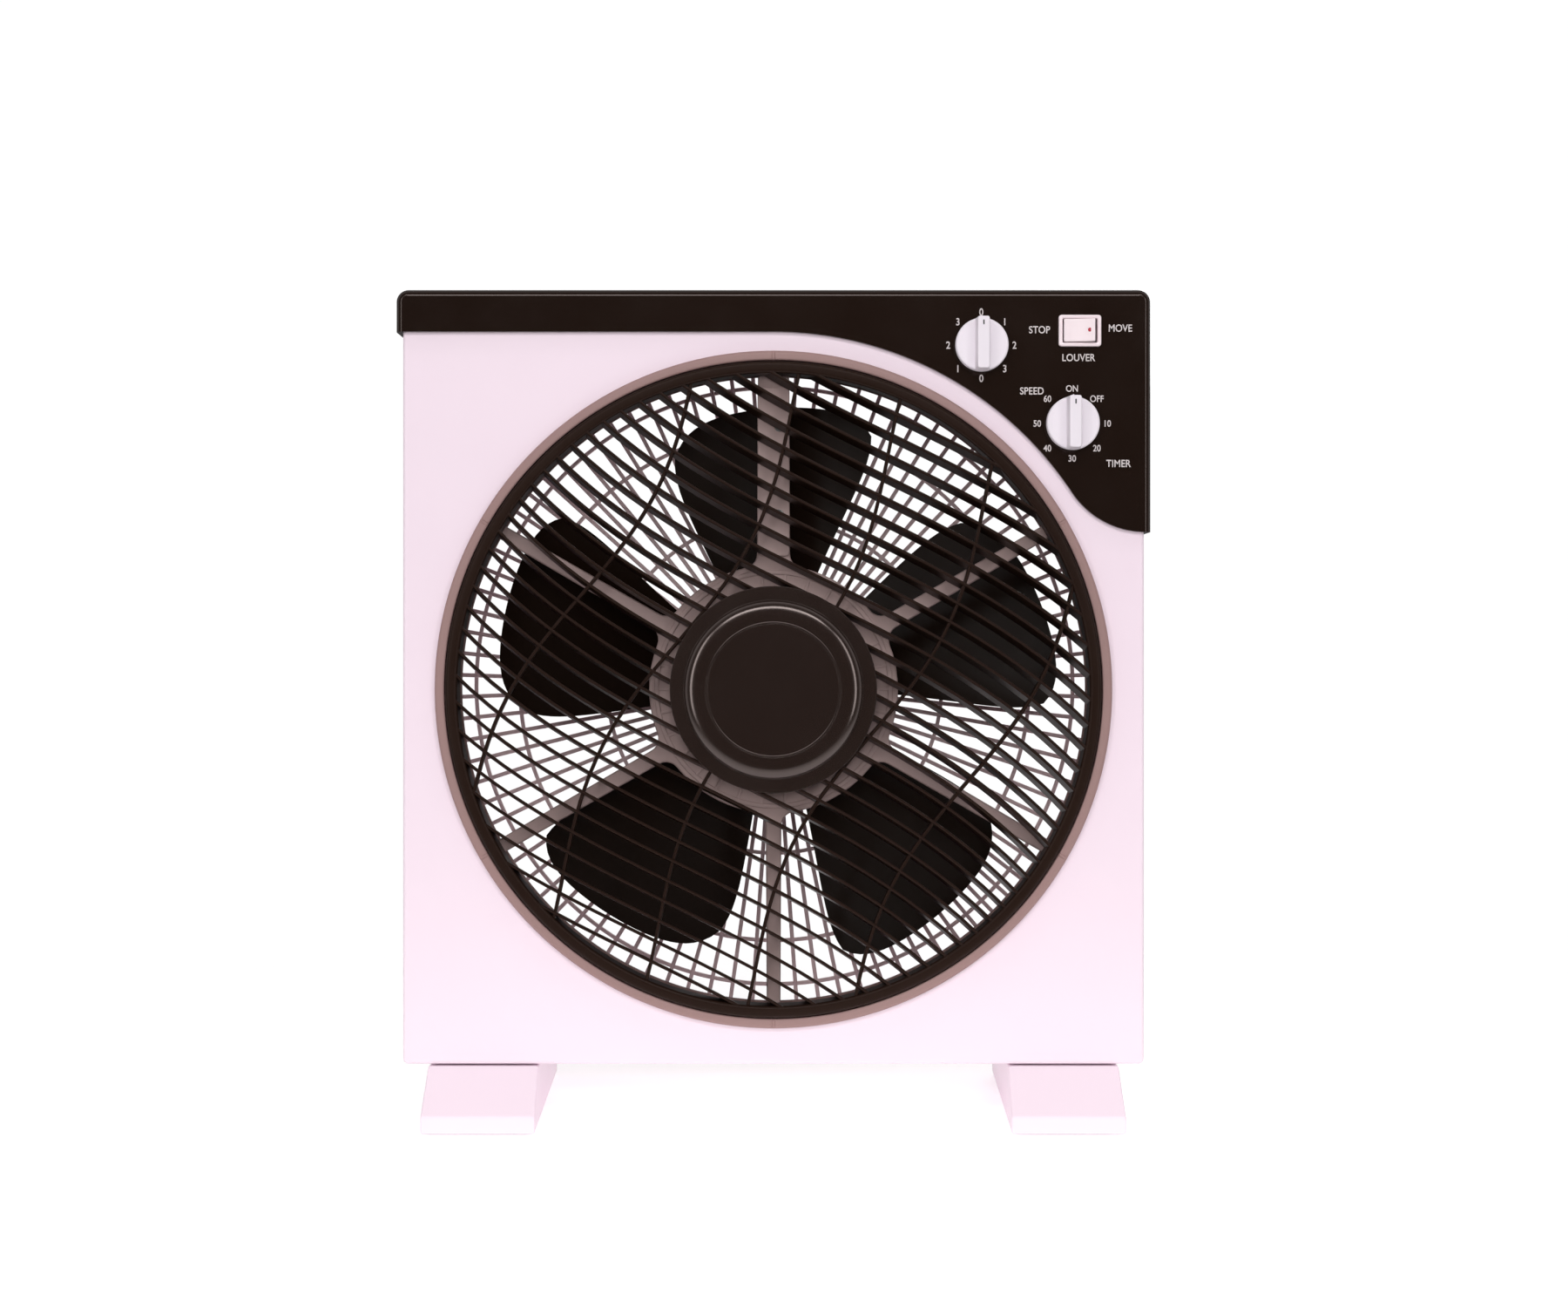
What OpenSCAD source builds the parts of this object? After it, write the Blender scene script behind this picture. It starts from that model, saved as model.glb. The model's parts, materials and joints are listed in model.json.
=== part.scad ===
/* [Body] */
// Width of the white moulded body
body_w = 366; // [362:1:368]
// Depth of the body from its front wall to its rear wall
body_depth = 110; // [110:1:114]
// Fan axis down to the underside of the body
body_drop = 185; // [182:1:190]
// Fan axis up to the roof of the body, under the cover
body_rise = 194; // [192:0.5:195]
// Wall thickness of the shells
wall = 2.5; // [2:0.1:2.8]
// Height of the body's underside above the floor
body_lift = 30; // [28:1:34]

/* [Cover] */
// Width of the dark cover
cover_w = 372; // [370:1:374]
// Fan axis up to the top of the cover
cover_rise = 197; // [197:0.5:198]
// Height of the cover's strip along the top
strip_h = 20.9; // [20:0.1:22]
// Fan axis up to the lower edge of the control panel
panel_drop = 77.5; // [70:0.5:84]
// Radius of the reverse curve at the panel's foot
panel_fillet = 43.5; // [42:0.5:44]
// Corner radius of the cover
cover_corner = 6; // [4:0.5:8]

/* [Guard] */
// Outer radius of the guard's front bead
bead_r = 166.8; // [166:0.2:168]
// Width of a guard arm
arm_w = 7.8; // [6:0.2:9]
// Width of the arm that carries the louver motor's leads
lead_arm_w = 16.5; // [15:0.5:18]
// Outer radius of the guard's hub plate
guard_hub_r = 62; // [58:1:64]

/* [Louver] */
// Outer radius of the turning louver
louver_r = 161.3; // [161:0.1:161.5]
// Radial width of the louver's rim
louver_band = 5.9; // [5:0.1:7]
// Spacing of the louver's slats
slat_pitch = 9.8; // [9.4:0.1:10]
// Slats on each side of the middle one
slat_side = 15; // [13:1:15]
// Thickness of a slat
slat_t = 1.4; // [1.2:0.1:2]
// Depth of a slat from front to back
slat_depth = 11.5; // [9:0.5:11.5]
// How far a slat bends at the rim, as a share of the radius
slat_bend = 0.128; // [0.05:0.001:0.15]
// Turn of the slats' cross direction from the horizontal
slat_turn = 64; // [0:1:90]
// Radius of the louver's cap
cap_r = 50.7; // [50.4:0.1:52]

/* [Fan] */
// Number of blades
blades = 5; // [3:1:6]
// Radius over the blade tips
blade_r = 145.5; // [130:0.5:148]
// Angle that one blade covers
blade_span = 49; // [36:0.5:50]
// Radius of the blades' hub
fan_hub_r = 38; // [36:1:40]
// Radius of the motor shaft
shaft_r = 4; // [3.5:0.1:4.2]
// Radial clearance of a turning shaft in its bush
run_gap = 0.05; // [0.02:0.01:0.09]
// Outer radius of the motor's lamination stack
core_r = 42; // [40:0.5:43]

/* [Rear grille] */
// Number of radial ribs
ribs = 90; // [60:2:90]
// Width of a rib
rib_w = 2.2; // [1.6:0.1:2.4]
// Spacing of the grille's rings, of which the third is left out
ring_step = 23.9; // [22:0.1:24.5]

/* [Controls] */
// Radius of a control knob
knob_r = 13; // [12:0.5:13.5]
// Width of the grip across a knob
knob_grip_w = 6.6; // [5:0.2:8]
// Swing of the rocker button between its two ends
rocker_swing = 15; // [10:1:15]

/* [Feet] */
// Width of a foot at its front
foot_w = 55.5; // [50:0.5:57]
// Length of a foot from front to back
foot_len = 142; // [138:1:148]
// Height of a foot's front face
foot_toe = 9; // [7:0.5:12]
// How much narrower a foot is at its back
foot_taper = 5.5; // [0:0.5:8]

/* [Hidden] */
$fn = 96;
e = 0.01;

axis_z = body_lift + body_drop;
front_y = -49;
rear_y = front_y + body_depth;
split_y = 6;
panel_y = front_y - wall;
cover_y = rear_y + wall;

opening_r = 164.4;
shelf_y = -33;
shelf_r = 158;
bead_y = front_y - 4;
guard_wall_r = 164.1;
guard_bore_r = 161.9;

louver_front_y = bead_y - 2;
louver_rear_y = louver_front_y + slat_depth;
louver_hub_r = 50;
louver_web_y = louver_front_y + 5;
louver_shaft_r = 3.5;

cup_r = 27;
cup_front_y = -45;
cup_rear_y = -31;
arm_front_y = -41;
louver_ear = 35;
lead_x0 = -6.6;
lead_x1 = -0.6;
lid_z0 = 66;
lid_z1 = 150;
lid_t = 1.4;
lid_screw_x = 2.8;
lid_screw_z = [87, 130];
guard_screw_at = 160;
arm_end_r = 163;

rib_step = 52.7;
rib_swing = 10.8;
rib_wave = 258;

grille_y0 = rear_y - 4;
grille_y1 = rear_y - 0.8;
grille_r = 177.6;
grille_rim = 2.6;
grille_ring_r = 163.2;
grille_ring_w = 2;
grille_plate_r = 48;
grille_ears = [38, 142, 232, 308];
grille_ear_r = 8;
grille_screw_r = 184;
grille_gap = 0.4;
rebate_wall = 2.5;
ledge_r = 174.8;
ledge_t = 2.5;
grille_boss_y = grille_y0 - 12;

blade_mid_y = -13;
blade_mid_a = 20.5;
blade_sweep = 2.3;
fan_rear_y = 3;
nut_y = -22;
nut_r = 12.5;
pin_y = -3.5;
pin_r = 1.5;
pin_half = 8.5;

core_y0 = 16;
core_y1 = 34;
stator_bore_r = 24;
winding_h = 7;
bell_wall = 2.5;
bell_depth = 16;
ear_y0 = 11.5;
ear_y1 = 15.5;
bush_r = 8;
bolt_pcd_r = 47.5;
bolt_angles = [45, 135, 225, 315];
mount_angles = [0, 90, 180, 270];
mount_screw_r = bolt_pcd_r + 3.5;

skirt_depth = 20;
arc_r = cover_rise - strip_h;
fillet_z = panel_drop + panel_fillet;
fillet_x = sqrt(pow(arc_r + panel_fillet, 2) - pow(fillet_z, 2));
fillet_a = atan2(fillet_z, fillet_x);

speed_x = 102.3;
speed_z = 169.2;
timer_x = 147;
timer_z = 130.7;
rocker_x = 150.7;
rocker_z = 176.4;
rocker_pivot_y = -51;
rocker_half_x = 7.6;
rocker_half_z = 5.6;
shaft_knob_r = 3;

foot_x = 142.7;
foot_sole_z = 1;
foot_top_z = body_lift - 0.8;
foot_front_y = -foot_len / 2;
foot_rear_y = foot_len / 2;

guard_arms = [for (i = [0:5]) 30 + 60 * i];
shell_screw_at = [[-171, -173], [171, -173], [-171, 171], [171, 160]];
cover_screw_x = 140;
cover_screw_z = 185;
foot_screw_y = [-30, 36];
foot_screw_r = 1.6;
foot_boss_r = 4;
foot_seat_z = foot_top_z - 12;
pad_y = [-58, 58];
pad_x = [-16, 12];
foot_rib_y = [-42, -14, 12, 46];
inlet_x = 150;
inlet_z = -158;
inlet_side = 12;
inlet_bore_r = 3.6;
knob_face_y = panel_y - 5.5;
knob_rear_y = panel_y - 1;
knob_front_y = panel_y - 13;
knob_pointer = 1.2;
bezel = [20.9, 15.5];
well_half = [8.5, 5.9];
switch_side = [18.9, 13];
cap_box = [36, 16, 25];
cap_at = [130, 42, 160];
cap_ear = 26;
block_box = [36, 16, 12];
block_at = [150, 40, -132];
block_screw_x = 14;

// Screws as [shank radius, head radius, head height]
cover_screw = [1.4, 3.2, 1.6];
case_screw = [1.5, 3.4, 2];
guard_screw = [1.3, 2.8, 1.6];
lid_screw = [1, 2.2, 0.5];
small_screw = [1.2, 2.6, 1.4];
cap_screw = [0.95, 5, 1.2];
motor_bolt = [1.9, 2.9, 2.5];

white = [0.93, 0.9, 0.93];
black = [0.11, 0.08, 0.07];
taupe = [0.43, 0.36, 0.36];
knob_grey = [0.88, 0.87, 0.91];
steel = [0.7, 0.7, 0.72];
copper = [0.72, 0.4, 0.2];
rubber = [0.15, 0.15, 0.15];

function polar(r, a) = [r * cos(a), r * sin(a)];
function arc(c, r, a0, a1, n) = [for (i = [0:n]) c + polar(r, a0 + (a1 - a0) * i / n)];

// Where a slat at offset p meets radius r, by halving the range of v
function slat_u(p, v) = p - slat_bend * pow(v, 3) / pow(louver_r - louver_band, 2);
function slat_v(p, r, lo, hi, n) =
    n == 0 ? (lo + hi) / 2
    : norm([slat_u(p, (lo + hi) / 2), (lo + hi) / 2]) > r
      ? slat_v(p, r, lo, (lo + hi) / 2, n - 1)
      : slat_v(p, r, (lo + hi) / 2, hi, n - 1);

// Draws its 2D child, seen from the front, from y0 back to y1
module plate(y0, y1) {
    translate([0, y1, 0]) rotate([90, 0, 0]) linear_extrude(y1 - y0) children();
}

module rod(r, y0, y1) {
    plate(y0, y1) circle(r);
}

module tube(r_out, r_in, y0, y1) {
    plate(y0, y1) difference() {
        circle(r_out);
        circle(r_in);
    }
}

// Turns a profile of [radius, y] points about the Y axis
module turned(points) {
    rotate([-90, 0, 0]) rotate_extrude() polygon(points);
}

module at(x, z) {
    translate([x, 0, z]) children();
}

module on_axis() {
    translate([0, 0, axis_z]) children();
}

module slab(x0, x1, y0, y1, z0, z1) {
    translate([x0, y0, z0]) cube([x1 - x0, y1 - y0, z1 - z0]);
}

// Pan-head screw that lies along Y, its head seated at y_seat and its tip at y_tip
module screw(kind, y_seat, y_tip) {
    head_r = kind[1];
    head_h = kind[2];
    way = y_tip > y_seat ? -1 : 1;
    rod(kind[0], min(y_seat, y_tip), max(y_seat, y_tip));
    difference() {
        rod(head_r, min(y_seat, y_seat + way * head_h), max(y_seat, y_seat + way * head_h));
        for (turn = [0, 90]) {
            translate([0, y_seat + way * head_h, 0]) rotate([0, turn, 0])
                cube([head_r * 1.3, head_h, head_r * 0.3], center = true);
        }
    }
}

module rounded_rect(w, h, r) {
    square([w - 2 * r, h], center = true);
    square([w, h - 2 * r], center = true);
    for (x = [-1, 1], y = [-1, 1]) {
        translate([x * (w / 2 - r), y * (h / 2 - r)]) circle(r);
    }
}

// Outline of the front shell, the rear shell and what lies inside them
module body_outline(inset) {
    h = body_drop + body_rise;
    translate([0, (body_rise - body_drop) / 2])
        rounded_rect(body_w - 2 * inset, h - 2 * inset, 2.6 - 0.6 * min(inset, 1));
}

module control_holes(margin) {
    translate([speed_x, speed_z]) circle(5 + margin);
    translate([timer_x, timer_z]) circle(5 + margin);
    translate([rocker_x, rocker_z]) square([19.2 + 2 * margin, 13.2 + 2 * margin], center = true);
}

// Bosses on the body's floor that the foot screws bite into
module foot_bosses(y) {
    for (side = [-1, 1]) {
        translate([side * foot_x, y, -body_drop + wall / 2]) cylinder(r = foot_boss_r, h = 9);
    }
}

module foot_boss_bores(y) {
    for (side = [-1, 1]) {
        translate([side * foot_x, y, -body_drop - 1]) cylinder(r = foot_screw_r + 0.05, h = 12);
    }
}

module front_shell() {
    color(white) on_axis() difference() {
        union() {
            plate(front_y, front_y + wall) difference() {
                body_outline(0);
                circle(opening_r);
                control_holes(1);
            }
            plate(front_y + wall, split_y) difference() {
                body_outline(0);
                body_outline(wall);
            }
            tube(opening_r + wall, opening_r, front_y + wall, shelf_y + wall);
            tube(opening_r + wall, shelf_r, shelf_y, shelf_y + wall);
            for (p = shell_screw_at) {
                at(p[0], p[1]) rod(4.5, front_y + wall, split_y);
            }
            foot_bosses(foot_screw_y[0]);
        }
        foot_boss_bores(foot_screw_y[0]);
        for (p = shell_screw_at) {
            at(p[0], p[1]) rod(1.6, -12, split_y + 1);
        }
        for (a = guard_arms) {
            rotate([0, -a, 0]) at(guard_screw_at, 0)
                rod(guard_screw[0] + 0.2, shelf_y - 1, shelf_y + wall + 1);
        }
    }
}

// Outline of the rear grille with its four ears, grown by a margin
module grille_outline(grow) {
    circle(grille_r + grow);
    for (a = grille_ears) {
        rotate(a) translate([grille_screw_r, 0]) circle(grille_ear_r + grow);
    }
}

// The same outline with a rebate's wall round it, kept inside the body
module rebate_outline() {
    intersection() {
        grille_outline(grille_gap + rebate_wall);
        body_outline(0);
    }
}

module rear_shell() {
    lug_r = 6.5;
    head_bore_r = 4.4;
    bore_floor_y = 30;
    color(white) on_axis() difference() {
        union() {
            plate(rear_y - wall, rear_y) difference() {
                body_outline(0);
                grille_outline(grille_gap);
            }
            plate(grille_y0, rear_y - wall) difference() {
                rebate_outline();
                grille_outline(grille_gap);
            }
            plate(grille_y0 - ledge_t, grille_y0) difference() {
                rebate_outline();
                circle(ledge_r);
            }
            for (a = grille_ears) {
                rotate([0, -a, 0]) at(grille_screw_r, 0) rod(4.5, grille_boss_y, grille_y0 - ledge_t);
            }
            plate(split_y, rear_y - wall) difference() {
                body_outline(0);
                body_outline(wall);
            }
            for (p = shell_screw_at) {
                at(p[0], p[1]) rod(lug_r, split_y, rear_y - wall);
            }
            for (x = [-1, 1]) {
                at(x * cover_screw_x, cover_screw_z) rod(4, rear_y - 12, rear_y - wall);
            }
            at(inlet_x, inlet_z) plate(rear_y - 8, rear_y - wall) square(inlet_side + 8, center = true);
            at(cap_at[0] - cap_ear, cap_at[2]) rod(4, cap_at[1] + cap_box[1] / 2 + 1.2, rear_y - wall);
            for (x = [-1, 1]) {
                at(block_at[0] + x * block_screw_x, block_at[2])
                    rod(3, block_at[1] + block_box[1] / 2, rear_y - wall);
            }
            foot_bosses(foot_screw_y[1]);
        }
        foot_boss_bores(foot_screw_y[1]);
        for (p = shell_screw_at) {
            at(p[0], p[1]) rod(case_screw[0] + 0.3, split_y - 1, bore_floor_y + 1);
            at(p[0], p[1]) rod(head_bore_r, bore_floor_y, rear_y + 1);
        }
        for (x = [-1, 1]) {
            at(x * cover_screw_x, cover_screw_z) rod(cover_screw[0] + 0.1, rear_y - 11, rear_y + 1);
        }
        for (a = grille_ears) {
            rotate([0, -a, 0]) at(grille_screw_r, 0)
                rod(small_screw[0] + 0.1, grille_boss_y + 2, grille_y0 + 1);
        }
        at(inlet_x, inlet_z) plate(rear_y - 9, rear_y + 1) square(inlet_side + 0.2, center = true);
        at(cap_at[0] - cap_ear, cap_at[2]) rod(1.5, cap_at[1] + 7, rear_y - wall - 1);
        for (x = [-1, 1]) {
            at(block_at[0] + x * block_screw_x, block_at[2]) rod(1.3, block_at[1] + 7, rear_y - wall - 1);
        }
    }
}

// Front outline of the cover: the strip, and the panel that follows the air opening
module cover_outline() {
    c = cover_corner;
    half = cover_w / 2;
    polygon(concat(
        arc([0, 0], arc_r, 90, fillet_a, 40),
        arc([fillet_x, fillet_z], panel_fillet, 180 + fillet_a, 270, 16),
        [[half, panel_drop]],
        arc([half - c, cover_rise - c], c, 0, 90, 10),
        arc([c - half, cover_rise - c], c, 90, 180, 10),
        [[-half, arc_r]]
    ));
}

module strip_outline() {
    c = cover_corner;
    half = cover_w / 2;
    polygon(concat(
        [[half, arc_r]],
        arc([half - c, cover_rise - c], c, 0, 90, 10),
        arc([c - half, cover_rise - c], c, 90, 180, 10),
        [[-half, arc_r]]
    ));
}

module top_cover() {
    half_in = body_w / 2 + 0.4;
    color(black) on_axis() difference() {
        union() {
            plate(panel_y, front_y) cover_outline();
            difference() {
                plate(front_y, cover_y) strip_outline();
                slab(-half_in, half_in, front_y - 1, rear_y, arc_r - 1, body_rise + 0.4);
            }
            slab(half_in, cover_w / 2, front_y, front_y + skirt_depth, panel_drop, arc_r);
        }
        plate(panel_y - 1, front_y + 1) control_holes(0);
        for (x = [-1, 1]) {
            at(x * cover_screw_x, cover_screw_z) rod(1.8, rear_y - 1, cover_y + 1);
        }
    }
}

module cover_screws() {
    color(steel) on_axis() for (x = [-1, 1]) {
        at(x * cover_screw_x, cover_screw_z) screw(cover_screw, cover_y, rear_y - 10);
    }
}

module shell_screws() {
    color(steel) on_axis() for (p = shell_screw_at) {
        at(p[0], p[1]) screw(case_screw, 30, -8);
    }
}

// Flat outline of a guard arm, flared where it meets the hub plate
module arm_outline(w) {
    half = w / 2;
    polygon([
        [guard_hub_r - 4, -half - 6], [guard_hub_r + 1, -half - 3.2], [guard_hub_r + 4, -half - 1.2],
        [guard_hub_r + 9, -half], [arm_end_r, -half + 0.5], [arm_end_r, half - 0.5],
        [guard_hub_r + 9, half], [guard_hub_r + 4, half + 1.2], [guard_hub_r + 1, half + 3.2],
        [guard_hub_r - 4, half + 6]
    ]);
}

module guard() {
    color(taupe) on_axis() difference() {
        union() {
            turned([
                [guard_bore_r, bead_y + 1], [guard_bore_r + 1, bead_y], [bead_r - 1.6, bead_y],
                [bead_r, bead_y + 1.6], [bead_r, front_y], [guard_wall_r, front_y],
                [guard_wall_r, shelf_y], [156, shelf_y], [156, shelf_y - wall],
                [guard_bore_r, shelf_y - wall]
            ]);
            plate(arm_front_y, shelf_y) union() {
                difference() {
                    circle(guard_hub_r);
                    circle(cup_r + 1);
                }
                for (a = guard_arms) {
                    rotate(a) arm_outline(a == 90 ? lead_arm_w : arm_w);
                }
            }
            tube(cup_r + 2, cup_r, cup_front_y, cup_rear_y);
            rod(cup_r + 1, cup_rear_y - 1.5, cup_rear_y);
            for (x = [-1, 1]) {
                at(x * louver_ear, 0) rod(4.5, cup_front_y, arm_front_y + 1);
            }
        }
        tube(guard_hub_r - 3, cup_r + 11, arm_front_y - 1, arm_front_y + 1.2);
        slab(lead_x0, lead_x1, arm_front_y - 1, arm_front_y + 4.5, cup_r + 4, 152);
        slab(lead_x0, lead_x1, arm_front_y - 5, arm_front_y + 4.5, cup_r - 2, cup_r + 5);
        for (a = guard_arms) {
            rotate([0, -a, 0]) at(guard_screw_at, 0) rod(guard_screw[0] + 0.1, shelf_y - 5, shelf_y + 1);
            rotate([0, -a, 0]) slab(guard_bore_r - 1, bead_r + 1, bead_y - 1, bead_y + 0.5, -0.5, 0.5);
        }
        for (x = [-1, 1]) {
            at(x * louver_ear, 0) rod(1.4, cup_front_y - 1, arm_front_y + 3);
        }
        for (z = lid_screw_z) {
            at(lid_screw_x, z) rod(lid_screw[0] + 0.1, arm_front_y - 1, arm_front_y + 6);
        }
    }
}

module guard_screws() {
    color(steel) on_axis() for (a = guard_arms) {
        rotate([0, -a, 0]) at(guard_screw_at, 0) screw(guard_screw, shelf_y + wall, shelf_y - 4.5);
    }
}

// Lid over the lead channel in the upper arm
module arm_cover() {
    color(taupe) on_axis() difference() {
        plate(arm_front_y - lid_t, arm_front_y) translate([0, (lid_z0 + lid_z1) / 2])
            rounded_rect(lead_arm_w - 0.6, lid_z1 - lid_z0, 2);
        for (z = lid_screw_z) {
            at(lid_screw_x, z) rod(lid_screw[0] + 0.2, arm_front_y - 3, arm_front_y + 1);
        }
    }
}

module arm_cover_screws() {
    color(steel) on_axis() for (z = lid_screw_z) {
        at(lid_screw_x, z) screw(lid_screw, arm_front_y - lid_t, arm_front_y + 5);
    }
}

module louver_leads() {
    color("red") on_axis() for (x = [lead_x0 + 1.5, lead_x1 - 1.5]) {
        translate([x, arm_front_y + 3, cup_r + 4.2]) cylinder(r = 1, h = 116);
    }
}

module louver_motor() {
    color(steel) on_axis() difference() {
        union() {
            rod(cup_r - 0.5, cup_front_y, cup_rear_y - 2);
            plate(cup_front_y - 0.8, cup_front_y) {
                square([2 * louver_ear, 9], center = true);
                circle(20);
                for (x = [-1, 1]) {
                    translate([x * louver_ear, 0]) circle(4.5);
                }
            }
            rod(6, cup_front_y - 2, cup_front_y - 0.8);
        }
        rod(louver_shaft_r + run_gap, cup_front_y - 3, cup_rear_y - 5);
        for (x = [-1, 1]) {
            at(x * louver_ear, 0) rod(1.6, cup_front_y - 1, cup_front_y + 1);
        }
    }
}

module louver_motor_screws() {
    color(steel) on_axis() for (x = [-1, 1]) {
        at(x * louver_ear, 0) screw(guard_screw, cup_front_y - 0.8, arm_front_y + 2);
    }
}

module louver_shaft() {
    color(steel) on_axis() difference() {
        rod(louver_shaft_r, louver_front_y + 0.5, cup_rear_y - 5.5);
        slab(-4, 4, louver_front_y, cup_front_y - 2.6, 2.5, 5);
        rod(1, louver_front_y, louver_front_y + 6);
    }
}

module louver_screw() {
    color(steel) on_axis() screw(cap_screw, louver_front_y + 0.5, louver_front_y + 5.5);
}

// Half of a slat, from the hub or the middle line out to the rim
module slat_half(p) {
    r_in = louver_hub_r - 2;
    r_out = louver_r - louver_band / 2;
    v0 = abs(p) < r_in ? slat_v(p, r_in, 0, 80, 14) : -0.2;
    v1 = slat_v(p, r_out, 0, 200, 16);
    steps = 14;
    line = [for (i = [0:steps]) let (v = v0 + (v1 - v0) * i / steps) [slat_u(p, v), v]];
    polygon(concat(
        [for (i = [0:steps]) line[i] - [slat_t / 2, 0]],
        [for (i = [steps:-1:0]) line[i] + [slat_t / 2, 0]]
    ));
}

// A wavy cross rib at offset q
function rib_v(q, u) = q + rib_swing * sin(360 * u / rib_wave);
function rib_end(q, r, lo, hi, n) =
    n == 0 ? (lo + hi) / 2
    : norm([(lo + hi) / 2, rib_v(q, (lo + hi) / 2)]) > r
      ? rib_end(q, r, lo, (lo + hi) / 2, n - 1)
      : rib_end(q, r, (lo + hi) / 2, hi, n - 1);

module cross_rib(q) {
    r_out = louver_r - louver_band / 2;
    u0 = q == 0 ? louver_hub_r - 2 : -rib_end(-q, r_out, 0, 200, 16);
    u1 = rib_end(q, r_out, 0, 200, 16);
    steps = 24;
    line = [for (i = [0:steps]) let (u = u0 + (u1 - u0) * i / steps) [u, rib_v(q, u)]];
    polygon(concat(
        [for (i = [0:steps]) line[i] - [0, 0.9]],
        [for (i = [steps:-1:0]) line[i] + [0, 0.9]]
    ));
}

module louver_slats() {
    plate(louver_front_y + 0.5, louver_rear_y) rotate(slat_turn) for (n = [-slat_side:slat_side]) {
        slat_half(n * slat_pitch);
        rotate(180) slat_half(n * slat_pitch);
    }
}

module louver_cross_ribs() {
    plate(louver_front_y + 1.5, louver_front_y + 5.5) rotate(slat_turn) {
        for (q = [-2, -1, 1, 2]) {
            cross_rib(q * rib_step);
        }
        cross_rib(0);
        rotate(180) cross_rib(0);
    }
}

module louver_grille() {
    color(black) on_axis() difference() {
        union() {
            tube(louver_r, louver_r - louver_band, louver_front_y, louver_rear_y);
            tube(louver_hub_r, louver_hub_r - 3, louver_front_y, louver_rear_y);
            rod(louver_hub_r - 1, louver_web_y - 2, louver_web_y);
            rod(7, louver_front_y + 0.5, louver_web_y);
            louver_slats();
            louver_cross_ribs();
        }
        difference() {
            rod(louver_shaft_r, louver_front_y, louver_web_y + 1);
            slab(-4, 4, louver_front_y - 1, louver_web_y + 2, 2.5, 5);
        }
    }
}

module louver_cap() {
    y = louver_front_y;
    color(black) on_axis() turned([
        [0, y - 3.6], [31.8, y - 3.6], [32.6, y - 4.4], [33.4, y - 4.4], [34.2, y - 3.6],
        [36, y - 3.4], [37.2, y - 5.2], [38.8, y - 6.6], [40.6, y - 7.1], [42.4, y - 6.6],
        [44, y - 5.2], [45.5, y - 3.8], [48, y - 2.6], [49.8, y - 2.2], [cap_r, y - 1.6],
        [cap_r, y], [46.6, y], [46.6, y + 2.6], [44.8, y + 2.6], [44.8, y - 1.6], [0, y - 1.6]
    ]);
}

// One blade as a closed skin: rows run out along the radius, columns run round the hub
function blade_edge(t) = 1 - (t < 0.5 ? 0.06 * pow(1 - 2 * t, 6) : 0.085 * pow(2 * t - 1, 5)) - 0.03 * t;
function blade_point(s, t, side) =
    let (
        root = fan_hub_r - 1,
        r = root + (blade_r * blade_edge(t) - root) * s,
        half = blade_span / 2 * (0.94 + 0.06 * sin(180 * min(s * 1.25, 1) / 2)) * (1 - 0.09 * pow(s, 9)),
        a = half * (2 * t - 1) + blade_sweep * (0.4 - s),
        camber = 3.2 * (1 - pow(2 * t - 1, 2)),
        pitch = 24 - 2 * s,
        y = blade_mid_y + pitch * (t - 0.5) + camber,
        half_t = (1.3 - 0.4 * s) * (1 - 0.75 * pow(2 * t - 1, 4))
    )
    [r * cos(a), y + side * half_t, r * sin(a)];

module blade(rows, cols) {
    w = cols + 1;
    skin = (rows + 1) * w;
    points = [for (side = [-1, 1], i = [0:rows], j = [0:cols]) blade_point(i / rows, j / cols, side)];
    quads = concat(
        [for (i = [0:rows - 1], j = [0:cols - 1])
            [i * w + j, i * w + j + 1, (i + 1) * w + j + 1, (i + 1) * w + j]],
        [for (i = [0:rows - 1], j = [0:cols - 1])
            [skin + i * w + j, skin + (i + 1) * w + j, skin + (i + 1) * w + j + 1, skin + i * w + j + 1]],
        [for (i = [0:rows - 1]) [i * w, (i + 1) * w, skin + (i + 1) * w, skin + i * w]],
        [for (i = [0:rows - 1])
            [i * w + cols, skin + i * w + cols, skin + (i + 1) * w + cols, (i + 1) * w + cols]],
        [for (j = [0:cols - 1]) [j, skin + j, skin + j + 1, j + 1]],
        [for (j = [0:cols - 1])
            [rows * w + j, rows * w + j + 1, skin + rows * w + j + 1, skin + rows * w + j]]
    );
    faces = [for (q = quads, k = [0, 1]) k == 0 ? [q[0], q[1], q[2]] : [q[0], q[2], q[3]]];
    polyhedron(points, faces);
}

module fan_blade() {
    color(black) on_axis() difference() {
        union() {
            turned([
                [0, nut_y], [fan_hub_r - 5, nut_y], [fan_hub_r, nut_y + 5], [fan_hub_r, fan_rear_y],
                [fan_hub_r - 2.5, fan_rear_y], [fan_hub_r - 2.5, nut_y + 6], [fan_hub_r - 6, nut_y + 3],
                [9, nut_y + 3], [9, pin_y + 1.5], [0, pin_y + 1.5]
            ]);
            for (i = [0:blades - 1]) {
                rotate([0, -(blade_mid_a + 360 / blades * i), 0]) blade(7, 10);
            }
        }
        rod(shaft_r, nut_y - 1, 4);
        slab(-9.5, 9.5, pin_y - pin_r, pin_y + 2, -pin_r, pin_r);
    }
}

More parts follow.
